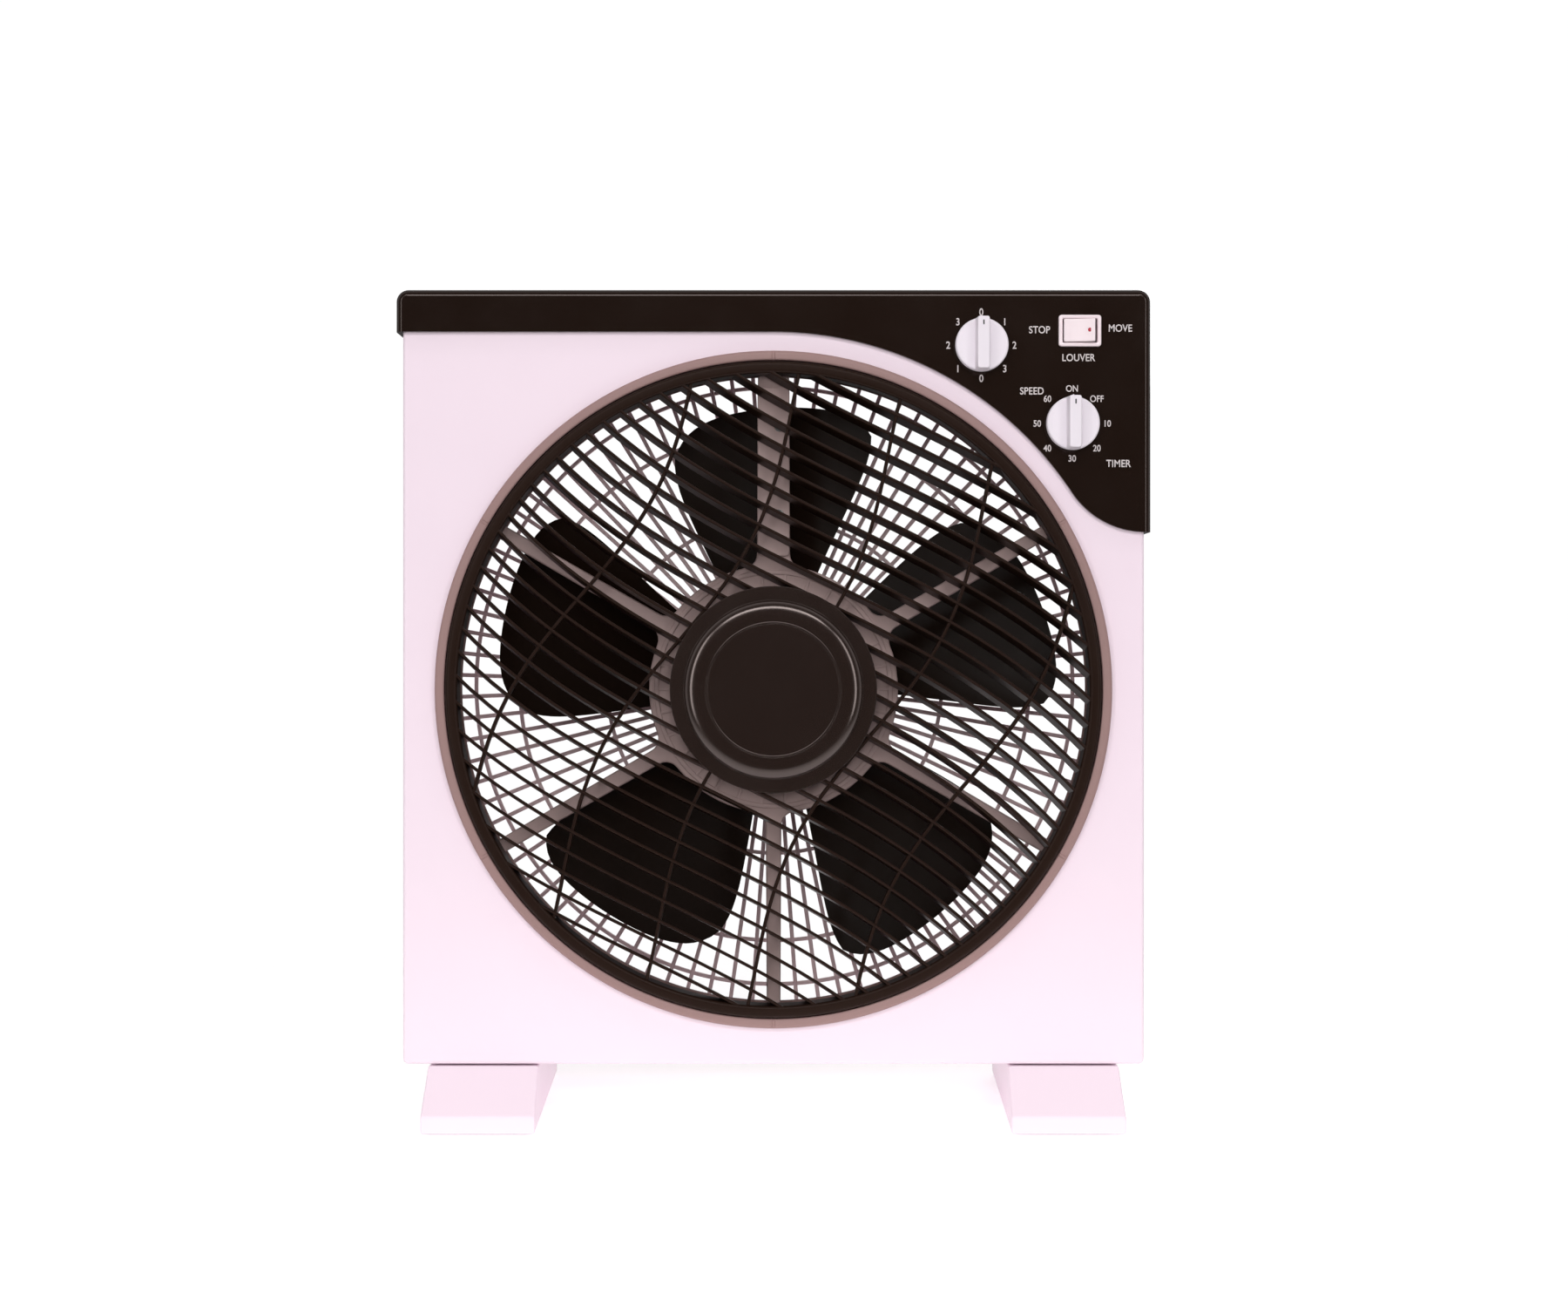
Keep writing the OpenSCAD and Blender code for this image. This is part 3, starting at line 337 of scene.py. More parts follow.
def plastic(name, colour, deep, rough=(0.3, 0.4), grain=0.02, grain_scale=1800, coat=0.0, gloss=0.5,
            gloss_tint=(1, 1, 1)):
    """Moulded plastic: slow colour drift, patchy gloss and a fine moulded grain."""
    material, nodes, links, shader, where = new_material(name)
    drift = noise(nodes, links, where, 6, 3)
    links.new(ramp(nodes, links, drift, deep, colour, 0.1, 0.9), shader.inputs["Base Color"])
    smudge = noise(nodes, links, where, 35, 6, 0.62)
    links.new(ramp(nodes, links, smudge, rough[0], rough[1]), shader.inputs["Roughness"])
    relief(nodes, links, noise(nodes, links, where, grain_scale, 2), shader, grain, 0.0004)
    shader.inputs["Coat Weight"].default_value = coat
    shader.inputs["Coat Roughness"].default_value = 0.08
    shader.inputs["Specular IOR Level"].default_value = gloss
    shader.inputs["Specular Tint"].default_value = (*gloss_tint, 1)
    return material


def metal(name, colour, deep, rough=(0.25, 0.4), brush=(40, 900, 40), grain=0.05):
    """Plated or turned steel: fine marks drawn along one direction, and dull patches."""
    material, nodes, links, shader, where = new_material(name)
    shader.inputs["Metallic"].default_value = 1.0
    stretch = nodes.new("ShaderNodeMapping")
    stretch.inputs["Scale"].default_value = brush
    links.new(where.outputs["Object"], stretch.inputs["Vector"])
    marks = nodes.new("ShaderNodeTexNoise")
    marks.inputs["Scale"].default_value = 12
    marks.inputs["Detail"].default_value = 5
    links.new(stretch.outputs["Vector"], marks.inputs["Vector"])
    links.new(ramp(nodes, links, marks.outputs["Fac"], deep, colour), shader.inputs["Base Color"])
    patch = noise(nodes, links, where, 60, 5)
    links.new(ramp(nodes, links, patch, rough[0], rough[1]), shader.inputs["Roughness"])
    relief(nodes, links, marks.outputs["Fac"], shader, grain, 0.0002)
    return material


def laminated(name, colour, gap, pitch=0.5):
    """A stack of thin steel sheets, seen as lines square to the shaft."""
    material, nodes, links, shader, where = new_material(name)
    shader.inputs["Metallic"].default_value = 1.0
    wave = nodes.new("ShaderNodeTexWave")
    wave.bands_direction = "Y"
    wave.inputs["Scale"].default_value = 1 / (pitch * MM) / 20 * 3
    wave.inputs["Distortion"].default_value = 0.4
    links.new(where.outputs["Object"], wave.inputs["Vector"])
    links.new(ramp(nodes, links, wave.outputs["Fac"], gap, colour, 0.1, 0.4), shader.inputs["Base Color"])
    links.new(ramp(nodes, links, noise(nodes, links, where, 90), 0.4, 0.6), shader.inputs["Roughness"])
    relief(nodes, links, wave.outputs["Fac"], shader, 0.5, 0.0002)
    return material


def wound(name, colour, deep):
    """Enamelled wire laid in rings round the shaft, under varnish."""
    material, nodes, links, shader, where = new_material(name)
    shader.inputs["Metallic"].default_value = 0.8
    shader.inputs["Coat Weight"].default_value = 0.5
    shift = nodes.new("ShaderNodeMapping")
    shift.inputs["Location"].default_value = (0, 0, -AXIS.z * MM)
    links.new(where.outputs["Object"], shift.inputs["Vector"])
    wave = nodes.new("ShaderNodeTexWave")
    wave.wave_type = "RINGS"
    wave.rings_direction = "Y"
    wave.inputs["Scale"].default_value = 260
    wave.inputs["Distortion"].default_value = 1.5
    wave.inputs["Detail Scale"].default_value = 4
    links.new(shift.outputs["Vector"], wave.inputs["Vector"])
    links.new(ramp(nodes, links, wave.outputs["Fac"], deep, colour, 0.1, 0.7), shader.inputs["Base Color"])
    links.new(ramp(nodes, links, noise(nodes, links, where, 70), 0.25, 0.45), shader.inputs["Roughness"])
    relief(nodes, links, wave.outputs["Fac"], shader, 0.6, 0.0003)
    return material


WHITE = plastic("white_moulding", (0.86, 0.72, 0.80), (0.84, 0.70, 0.785), (0.3, 0.38), 0.02)
WARM = (1, 0.84, 0.8)
BLACK = plastic("black_gloss", (0.0105, 0.005, 0.003), (0.009, 0.0042, 0.0026), (0.12, 0.17), 0.004, 300, gloss=0.4,
                gloss_tint=WARM)
LOUVER_BLACK = plastic("louver_black", (0.016, 0.0075, 0.0048), (0.012, 0.0055, 0.0036), (0.3, 0.38), gloss=0.14,
                       gloss_tint=WARM)
BLADE_BLACK = plastic("blade_black", (0.0115, 0.0055, 0.003), (0.0085, 0.004, 0.0024), (0.35, 0.45), 0.03, gloss=0.12)
CAP_BLACK = plastic("cap_black", (0.0125, 0.006, 0.004), (0.0105, 0.005, 0.0034), (0.16, 0.2), 0.001, 300, gloss=1.0,
                    gloss_tint=WARM)
TAUPE = plastic("guard_moulding", (0.32, 0.2, 0.19), (0.29, 0.18, 0.17), (0.36, 0.48), 0.05, gloss=0.3)
# Painted light: a lighter copy of the guard moulding's colour for the spider and arm cover, standing in for the light
# that the louver's slats keep off them
ARM_TAUPE_PAINTED_LIGHT = plastic("arm_moulding_painted_light", (0.45, 0.325, 0.31), (0.41, 0.295, 0.28), (0.4, 0.5), 0.05, gloss=0.3)
GRILLE_TAUPE = plastic("grille_moulding", (0.82, 0.64, 0.64), (0.78, 0.6, 0.6), (0.4, 0.5), 0.05, gloss=0.4)
DIAL = plastic("dial_moulding", (0.79, 0.73, 0.785), (0.77, 0.71, 0.765), (0.45, 0.55), 0.02, gloss=0.25)
ROCKER = plastic("rocker_moulding", (0.9, 0.77, 0.8), (0.87, 0.74, 0.77), (0.16, 0.24), 0.01, coat=0.3)
INK = plastic("panel_ink", (0.62, 0.56, 0.56), (0.52, 0.47, 0.47), (0.5, 0.6), 0.1)
RED_INK = plastic("red_ink", (0.42, 0.01, 0.03), (0.36, 0.007, 0.022), (0.35, 0.45), 0.05)
DARK_INNER = plastic("inner_dark", (0.02, 0.019, 0.019), (0.014, 0.013, 0.013), (0.4, 0.55), 0.1)
PALE_INNER = plastic("inner_pale", (0.62, 0.6, 0.55), (0.55, 0.53, 0.48), (0.4, 0.55), 0.1)
RED_LEAD = plastic("lead_red", (0.4, 0.02, 0.02), (0.3, 0.012, 0.012), (0.4, 0.5), 0.1)
RUBBER = plastic("rubber", (0.018, 0.017, 0.017), (0.011, 0.01, 0.01), (0.7, 0.85), 0.3, 2600)
ZINC = metal("zinc_plate", (0.62, 0.62, 0.6), (0.45, 0.45, 0.44))
GROUND = metal("ground_steel", (0.7, 0.7, 0.72), (0.6, 0.6, 0.62), (0.15, 0.25), (300, 30, 300))
PRESSED = metal("pressed_steel", (0.42, 0.42, 0.43), (0.34, 0.34, 0.35), (0.35, 0.5), (20, 20, 20), 0.15)
BRONZE = metal("sintered_bronze", (0.6, 0.4, 0.18), (0.45, 0.29, 0.13), (0.4, 0.55), (200, 200, 200), 0.3)
LAMINATION = laminated("lamination_stack", (0.35, 0.35, 0.37), (0.08, 0.08, 0.085))
COPPER = wound("motor_winding", (0.7, 0.28, 0.1), (0.25, 0.08, 0.03))

CAD_LOOKS = {
    ZINC: "cover_screws shell_screws guard_screws arm_cover_screws louver_motor_screws louver_screw mount_screws "
          "grille_screws control_nuts capacitor_screw block_screws foot_screws motor_bolts capacitor_bracket "
          "thrust_washers",
    GROUND: "motor_shaft louver_shaft speed_shaft timer_shaft drive_pin louver_motor",
    PRESSED: "motor_front_bell motor_rear_bell",
    LAMINATION: "stator_core rotor_core",
    COPPER: "motor_windings",
    BRONZE: "motor_bushes rocker_terminals",
    RED_LEAD: "louver_leads",
    DARK_INNER: "speed_switch capacitor",
    PALE_INNER: "timer_case terminal_block",
    RUBBER: "foot_pads",
    GRILLE_TAUPE: "motor_mount",
}
for look, names in CAD_LOOKS.items():
    for node_name in names.split():
        slots = frame["nodes"][node_name].data.materials
        slots.clear()
        slots.append(look)


# ---------------------------------------------------------------- shells

def tray(outline, holes, y_face, y_rim, edge, rim_gap=0.35):
    """A box open at y_rim, with holes in its face at y_face. Works in either direction along y."""
    way = 1 if y_rim > y_face else -1
    depth = abs(y_rim - y_face)
    outer = edge_levels(0, depth, edge, rim_gap, 4)
    inner = [(depth, WALL), (WALL, WALL)]
    n, levels = len(outline), outer + inner
    points = [(p.x, y_face + way * y, p.y) for y, cut in levels for p in inset(outline, cut)]
    faces = walls(n, len(levels))
    front, back = [[loop] for loop in ends(n, len(points))]
    for ring in holes:
        base, m = len(points), len(ring)
        for y, cut in edge_levels(0, WALL, 0.4, 0, 2):
            points += [(p.x, y_face + way * y, p.y) for p in inset(ring, -cut)]
        faces += walls(m, (len(points) - base) // m, base)
        front.append(list(range(base, base + m)))
        back.append(list(range(len(points) - m, len(points))))
    return points, faces + fill(points, front) + fill(points, back)


BODY_OUTLINE = rectangle(BODY_LO.x, BODY_HI.x, BODY_LO.z, BODY_HI.z, 2.6)
ROCKER_HOLE = rectangle(ROCKER_AT.x - 9.6, ROCKER_AT.x + 9.6, ROCKER_AT.z - 6.6, ROCKER_AT.z + 6.6)


def front_shell():
    holes = [circle(OPENING_R), circle(6, 32, (SPEED_AT.x, SPEED_AT.z)), circle(6, 32, (TIMER_AT.x, TIMER_AT.z)),
             inset(ROCKER_HOLE, -1)]
    shape = Shape().add(tray(BODY_OUTLINE, holes, FRONT_Y, SPLIT_Y, 1.8))
    outer = OPENING_R + WALL
    shape.add(lathe([(OPENING_R, FRONT_Y + WALL), (outer, FRONT_Y + WALL), (outer, SHELF_Y + WALL),
                     (158, SHELF_Y + WALL), (158, SHELF_Y), (OPENING_R, SHELF_Y)]))
    shape.piece("front_shell_skin", "housing", WHITE, "shell_white", "front_shell")


SCREW_WELL_R, PILOT_R = 4.4, 1.8
SEAT_RIM = 2.9
SHELL_SCREWS = [(-171, -173), (171, -173), (-171, 171), (171, 160)]
COVER_SCREWS = [(-140, 185), (140, 185)]
GRILLE_R, GRILLE_EARS, EAR_AT, EAR_R = 177.6, (38, 142, 232, 308), 184, 8
INLET_LO, INLET_HI = box_mm("cord_inlet")
INLET_AT = ((INLET_LO.x + INLET_HI.x) / 2, (INLET_LO.z + INLET_HI.z) / 2)
INLET_HALF = 6


def eared(grow):
    """The rear grille's outline, a circle with four screw ears, grown by a margin."""
    radius, reach = GRILLE_R + grow, EAR_R + grow
    side = math.degrees(math.asin(reach / radius))
    out = []
    for k, ear in enumerate(GRILLE_EARS):
        before = GRILLE_EARS[k - 1] - (0 if k else 360)
        out += arc(radius, before + side, ear - side, 60)
        out += arc(reach, ear - 90, ear + 90, 14, polar(EAR_AT, ear))
    return out


def rear_shell():
    holes = [eared(0.4), square_seat(INLET_HALF + 0.1)]
    holes += [circle(SCREW_WELL_R, 40, p) for p in SHELL_SCREWS]
    holes += [circle(PILOT_R, 32, p) for p in COVER_SCREWS]
    shape = Shape().add(tray(BODY_OUTLINE, holes, REAR_Y, SPLIT_Y, 1.8))
    for p in SHELL_SCREWS:
        shape.add(pocket(circle(SCREW_WELL_R, 40, p), REAR_Y - WALL, 30, 2.1, 0.6, circle(PILOT_R, 40, p)))
    shape.add(pocket(square_seat(INLET_HALF + 0.1), REAR_Y - WALL, REAR_Y - 8, 4, 0.1, square_seat(INLET_HALF)))
    shape.add(extruded(eared(SEAT_RIM), GRILLE_LO.y, REAR_Y - WALL, 0, 0, [eared(0.4)]))
    ears = [circle(1.3, 24, polar(EAR_AT, a)) for a in GRILLE_EARS]
    shape.add(extruded(eared(SEAT_RIM), GRILLE_LO.y - WALL, GRILLE_LO.y, 0.3, 0, [circle(174.8, 288)] + ears))
    shape.piece("rear_shell_skin", "housing", WHITE, "shell_white", "rear_shell")


def square_seat(half):
    return rectangle(INLET_AT[0] - half, INLET_AT[0] + half, INLET_AT[1] - half, INLET_AT[1] + half)


def pocket(outline, y_mouth, y_floor, wall, curve, through=None):
    """The walls and floor of a recess that runs forward from y_mouth, with a rounded inner corner."""
    n = len(outline)
    steps = 5
    inner = [(y_mouth, 0)]
    inner += [(y_floor + curve * (1 - math.sin(t)), curve * (1 - math.cos(t)))
              for t in [math.pi / 2 * k / steps for k in range(steps + 1)]]
    outer = [(y_floor - wall, -wall), (y_mouth, -wall)]
    rings = [inset(outline, cut) for _, cut in inner]
    rings += [inset(outline, cut) for _, cut in outer]
    depths = [y for y, _ in inner + outer]
    points = [(p.x, y, p.y) for y, ring in zip(depths, rings) for p in ring]
    under = len(inner) * n
    faces = walls(n, len(inner)) + walls(n, 2, under) + band(under + n, 0, n)
    floor, back = [list(range(under - n, under))], [list(range(under, under + n))]
    if through:
        for y, group in ((y_floor, floor), (y_floor - wall, back)):
            base = len(points)
            points += [(p.x, y, p.y) for p in through]
            group.append(list(range(base, base + len(through))))
        faces += band(floor[1][0], back[1][0], len(through))
    return points, faces + fill(points, floor) + fill(points, back)


# ---------------------------------------------------------------- cover

def top_cover():
    half, top, edge, steps, lip = COVER_HI.x, COVER_HI.z, 3.2, 6, 22.5
    arc_r = top - STRIP_H
    fillet_z = COVER_LO.z + PANEL_FILLET
    fillet_x = math.sqrt((arc_r + PANEL_FILLET) ** 2 - fillet_z ** 2)
    lean = math.degrees(math.atan2(fillet_z, fillet_x))
    corner = 6
    lower = arc(arc_r, 90, lean, 48) + arc(PANEL_FILLET, 180 + lean, 269, 24, (fillet_x, fillet_z))
    rim = [Vector((half, COVER_LO.z)), Vector((half, arc_r))]
    rim += arc(corner, 0, 90, 10, (half - corner, top - corner))
    rim += arc(corner, 90, 180, 10, (corner - half, top - corner))
    rim += [Vector((-half, arc_r))]

    def rim_inset(depth):
        """The rim moved inwards, its two ends kept level."""
        out = []
        for i, p in enumerate(rim):
            before = (p - rim[max(i - 1, 0)]).normalized() if i else None
            after = (rim[i + 1] - p).normalized() if i + 1 < len(rim) else None
            sides = [Vector((-d.y, d.x)) for d in (before, after) if d is not None]
            middle = sum(sides, Vector((0, 0))).normalized()
            out.append(p + middle * depth / max(middle.dot(sides[0]), 0.4))
        return out

    n, levels = len(rim), edge_levels(PANEL_Y, COVER_HI.y, edge, edge, steps)
    points = [(p.x, y, p.y) for y, cut in levels for p in rim_inset(cut)]
    # the rim is open below, and its first side only runs back as far as the lip
    faces = [[k * n + i, k * n + i + 1, (k + 1) * n + i + 1, (k + 1) * n + i]
             for k in range(len(levels) - 1) for i in range(1, n - 1)]
    faces += [[k * n, k * n + 1, (k + 1) * n + 1, (k + 1) * n] for k in range(steps)]
    rear = list(range(len(points) - n + 1, len(points)))
    base = len(points)
    points += [(half, PANEL_Y + lip, COVER_LO.z), (half, PANEL_Y + lip, arc_r)]
    faces.append([steps * n, steps * n + 1, base + 1, base])
    base = len(points)
    points += [(p.x, PANEL_Y, p.y) for p in lower]
    loops = [list(range(n)) + list(range(base, len(points)))]
    for ring in (circle(5, 32, (SPEED_AT.x, SPEED_AT.z)), circle(5, 32, (TIMER_AT.x, TIMER_AT.z)), ROCKER_HOLE):
        base = len(points)
        points += [(p.x, PANEL_Y, p.y) for p in ring]
        loops.append(list(range(base, len(points))))
    faces += fill(points, loops) + fill(points, [rear])
    thing = Shape().add((points, faces)).piece("cover_skin", "housing", BLACK, "cover_black", "top_cover", closed=False)
    finish_sheet(thing, WALL, 0.35)


def finish_sheet(thing, thickness, bevel):
    """Turns a single-sided sheet into a wall, rounds its rims and applies both."""
    work = bmesh.new()
    work.from_mesh(thing.data)
    bmesh.ops.recalc_face_normals(work, faces=work.faces)
    centre = sum((f.normal * f.calc_area() for f in work.faces if f.calc_center_median().y * MM < 0), Vector())
    if centre.y > 0:
        bmesh.ops.reverse_faces(work, faces=work.faces)
    work.to_mesh(thing.data)
    work.free()
    thing.modifiers.clear()
    solid = thing.modifiers.new("wall", "SOLIDIFY")
    solid.thickness = thickness * MM
    solid.offset = -1
    solid.use_even_offset = True
    soft = thing.modifiers.new("rims", "BEVEL")
    soft.width = bevel * MM
    soft.segments = 2
    soft.limit_method = "ANGLE"
    soft.angle_limit = math.radians(50)
    made = baked(thing)
    thing.modifiers.clear()
    thing.data = made
    smoothed(made, 32)
    weigh_normals(thing)


# ---------------------------------------------------------------- guard

def hub_outline(radius, half_width, reach, blend_r):
    """The hub plate with its arms, as one outline with a fillet on each side of each arm."""
    out = []
    for a in GUARD_ARMS:
        h = half_width(a)
        cx = math.sqrt((radius + blend_r) ** 2 - (h + blend_r) ** 2)
        lean = math.degrees(math.atan2(h + blend_r, cx))
        near = arc(blend_r, 180 - lean, 90, 5, (cx, -h - blend_r))
        far = arc(blend_r, 270, 180 + lean, 5, (cx, h + blend_r))
        local = near + [Vector((reach, -h + 0.5)), Vector((reach, h - 0.5))] + far
        c, s = math.cos(math.radians(a)), math.sin(math.radians(a))
        out += [Vector((p.x * c - p.y * s, p.x * s + p.y * c)) for p in local]
        i = GUARD_ARMS.index(a)
        after = GUARD_ARMS[(i + 1) % 6] + (360 if i == 5 else 0)
        h2 = half_width(after % 360)
        lean2 = math.degrees(math.atan2(h2 + blend_r, math.sqrt((radius + blend_r) ** 2 - (h2 + blend_r) ** 2)))
        out += arc(radius, a + lean, after - lean2, 10)[1:-1]
    return out


def arm_half(angle):
    return 8.25 if angle == 90 else 3.9


def guard():
    bead_y, bead_r, bore = GUARD_LO.y, GUARD_HI.x, 161.9
    section = rounded([(bore, bead_y), (bead_r, bead_y), (bead_r, FRONT_Y), (164.1, FRONT_Y), (164.1, SHELF_Y),
                       (156, SHELF_Y), (156, SHELF_Y - WALL), (bore, SHELF_Y - WALL)],
                      [1.0, 2.6, 0, 0, 0.3, 0.4, 0.4, 0.4], 5)
    ring = Shape().add(seamed_ring(section, GUARD_ARMS))
    ring.piece("guard_moulding", "housing", TAUPE, "guard_taupe", "guard")
    shape = Shape().add(extruded(hub_outline(HUB_PLATE_R, arm_half, 163, 7), ARM_FRONT_Y, SHELF_Y, 1.1, 0.6,
                       [circle(CUP_R + 1, 96)]))
    shape.add(lathe(rounded([(CUP_R, -45), (CUP_R + 2, -45), (CUP_R + 2, -31), (0, -31), (0, -32.5), (CUP_R, -32.5)],
                            [0.5, 0.6, 1.2, 0, 0, 0], 3), 96))
    lip = rounded([(HUB_PLATE_R - 5, ARM_FRONT_Y - 0.8), (HUB_PLATE_R - 2.6, ARM_FRONT_Y - 0.8),
                    (HUB_PLATE_R - 2.6, ARM_FRONT_Y + 1), (HUB_PLATE_R - 5, ARM_FRONT_Y + 1)], [0.6, 0.6, 0, 0], 3)
    shape.add(lathe(lip, 144))
    for a in range(0, 360, 12):
        shape.add(turned_y(extruded(rectangle(CUP_R + 6, HUB_PLATE_R - 4.4, -0.7, 0.7), ARM_FRONT_Y - 0.6,
                                    ARM_FRONT_Y + 1, 0.3, 0), a))
    for x in (-35, 35):
        shape.add(extruded(circle(4.5, 40, (x, 0)), -45, ARM_FRONT_Y + 1, 0.4, 0))
    # the spider's lighter colour is painted light, making up for the shade under the louver's slats
    shape.piece("guard_spider", "housing", ARM_TAUPE_PAINTED_LIGHT, "guard_taupe")


def seamed_ring(section, seams, segments=360):
    """A turned ring with a shallow groove across its front bead at each seam angle."""
    n = len(section)
    low = min(y for _, y in section)
    stops, depth, top_half, foot_half = [], 0.45, 0.34, 0.2
    for a in seams:
        stops += [(a - top_half, 0), (a - foot_half, depth), (a + foot_half, depth), (a + top_half, 0)]
    plain = [i * 360 / segments for i in range(segments)]
    plain = [a for a in plain if all(abs((a - s + 180) % 360 - 180) > 0.5 for s in seams)]
    turns = sorted([(a, 0) for a in plain] + stops)
    points = []
    for a, groove in turns:
        c, s = math.cos(math.radians(a)), math.sin(math.radians(a))
        for r, y in section:
            points.append((r * c, y + (groove if y < low + 1.2 else 0), r * s))
    return points, walls(n, len(turns)) + band((len(turns) - 1) * n, 0, n)


def arm_cover():
    lo, hi = box_mm("arm_cover")
    plan = rectangle(lo.x, hi.x, lo.z, hi.z, 2.2)
    screws = [circle(1.25, 24, (2.8, z)) for z in (87, 130)]
    shape = Shape().add(extruded(plan, lo.y, hi.y, 0.6, 0.1, screws))
    shape.piece("arm_cover_lid", "housing", ARM_TAUPE_PAINTED_LIGHT, "guard_taupe", "arm_cover")


# ---------------------------------------------------------------- louver

def seen_in_front(place, start, end, steps):
    """Points of a curve place(t), turned from the slats' own directions into the front view."""
    c, s = math.cos(SLAT_TURN), math.sin(SLAT_TURN)
    local = [place(start + (end - start) * i / steps) for i in range(steps + 1)]
    return [Vector((u * c + v * s, u * s - v * c)) for u, v in local]


def meet(radius, place, way):
    """Where a curve place(t), followed from t = 0 in the direction way, leaves a circle."""
    lo, hi = 0.0, 200.0
    for _ in range(30):
        mid = (lo + hi) / 2
        lo, hi = (lo, mid) if Vector(place(way * mid)).length > radius else (mid, hi)
    return way * lo


def louver_grille():
    front, rear = LOUVER_LO.y, LOUVER_HI.y
    radius = LOUVER_HI.x
    inner = radius - LOUVER_BAND
    shape = Shape()
    rim = [(inner, front), (radius, front), (radius, rear), (inner, rear)]
    shape.add(lathe(rounded(rim, [1.6, 1.8, 0.4, 0.4], 4), 288))
    shape.add(lathe(rounded([(LOUVER_HUB_R - 3, front), (LOUVER_HUB_R, front), (LOUVER_HUB_R, rear),
                             (LOUVER_HUB_R - 3, rear)], 0.4, 2), 144))
    web_r = LOUVER_HUB_R - 2
    shape.add(lathe([(0, front + 3), (web_r, front + 3), (web_r, front + 5), (0, front + 5)], 96))
    depth = rear - front - 0.5
    lean = -0.15
    blade = rounded([(-0.75, 0), (0.75, 0), (0.85, depth), (-0.85, depth)], [0.55, 0.55, 0.3, 0.3], 3)
    blade = [(s + lean * (y - depth / 2), front + 0.5 + y) for s, y in blade]
    bend = SLAT_BEND / inner ** 2
    for number in range(-SLAT_SIDE, SLAT_SIDE + 1):
        p = number * SLAT_PITCH

        def slat(v):
            return p - bend * v ** 3, v

        low, high = meet(radius - 3, slat, -1), meet(radius - 3, slat, 1)
        if abs(p) < web_r:
            shape.add(swept(seen_in_front(slat, low, meet(web_r, slat, -1), 14), blade))
            shape.add(swept(seen_in_front(slat, meet(web_r, slat, 1), high, 14), blade))
        else:
            shape.add(swept(seen_in_front(slat, low, high, 24), blade))
    wire = rounded([(-0.8, front + 1.5), (0.8, front + 1.5), (0.95, front + 5.5), (-0.95, front + 5.5)], 0.5, 3)
    for number in range(-2, 3):
        q = number * WIRE_PITCH

        def wave(u):
            return Vector((u, q + WIRE_WAVE * math.sin(TAU * u / WIRE_WAVELENGTH)))

        low, high = meet(radius - 3, wave, -1), meet(radius - 3, wave, 1)
        for span in ((low, high),) if number else ((low, -web_r), (web_r, high)):
            shape.add(swept(seen_in_front(wave, *span, 40), wire))
    shape.piece("louver_moulding", "louver", LOUVER_BLACK, "louver_black", "louver_grille")


def smooth_profile(points, steps=6):
    """A Catmull-Rom curve through profile points."""
    points = [Vector(p) for p in points]
    out = []
    for i in range(len(points) - 1):
        a, b = points[max(i - 1, 0)], points[i]
        c, d = points[i + 1], points[min(i + 2, len(points) - 1)]
        for k in range(steps):
            t = k / steps
            out.append(0.5 * (2 * b + (c - a) * t + (2 * a - 5 * b + 4 * c - d) * t * t
                              + (3 * b - a - 3 * c + d) * t ** 3))
    return out + [points[-1]]


def louver_cap():
    y, rim = LOUVER_LO.y, CAP_HI.x
    face = rounded([(0.0, y - 6.9), (32.0, y - 6.9), (32.4, y - 6.65), (32.9, y - 6.65), (33.3, y - 6.9),
                    (36.5, y - 6.95)], [0, 0.1, 0.1, 0.1, 0.1, 0], 2, closed=False)
    shoulder = smooth_profile([(36.5, y - 6.95), (39.0, y - 6.8), (41.0, y - 6.3), (42.5, y - 5.4), (43.5, y - 4.3),
                               (44.0, y - 3.0)])
    back = [Vector((rim - 1, y - 2.75)), Vector((rim - 0.3, y - 2.7)), Vector((rim, y - 2.4)),
            Vector((rim, y)), Vector((46.6, y)), Vector((46.6, y + 2.6)), Vector((44.8, y + 2.6)),
            Vector((44.8, y - 1.6)), Vector((0, y - 1.6))]
    shape = Shape().add(lathe([tuple(p) for p in face[:-1] + shoulder + back], 192))
    shape.piece("louver_cap_moulding", "louver", CAP_BLACK, "cover_black", "louver_cap", crisp=34)


# ---------------------------------------------------------------- rotor

def blade_point(s, t, side):
    """A point on a blade: s runs out along the radius, t round the hub, side is front -1 or back 1."""
    root = FAN_HUB_R - 1
    across = 2 * t - 1
    reach = FAN_TIP_R * (1 - (0.06 * across ** 6 if t < 0.5 else 0.085 * across ** 5) - 0.03 * t)
    r = root + (reach - root) * s
    half = 24.5 * (0.94 + 0.06 * math.sin(math.pi * min(s * 1.25, 1) / 2)) * (1 - 0.09 * s ** 9)
    camber = 3.2 * (1 - across ** 2)
    y = -13 + (24 - 2 * s) * (t - 0.5) + camber
    thick = (1.3 - 0.4 * s) * (1 - 0.75 * across ** 4)
    turn = math.radians(half * across + 2.3 * (0.4 - s))
    return (r * math.cos(turn), y + side * thick, r * math.sin(turn))


def blade(rows=22, cols=28):
    grid = [blade_point(i / rows, j / cols, side)
            for side in (-1, 1) for i in range(rows + 1) for j in range(cols + 1)]
    w = cols + 1
    skin = (rows + 1) * w
    faces = []
    for i in range(rows):
        for j in range(cols):
            a = i * w + j
            faces.append([a, a + 1, a + w + 1, a + w])
            faces.append([skin + a, skin + a + w, skin + a + w + 1, skin + a + 1])
    ring = [j for j in range(cols)] + [i * w + cols for i in range(rows)]
    ring += [rows * w + j for j in range(cols, 0, -1)] + [i * w for i in range(rows, 0, -1)]
    for k, a in enumerate(ring):
        b = ring[(k + 1) % len(ring)]
        faces.append([a, b, skin + b, skin + a])
    return grid, faces


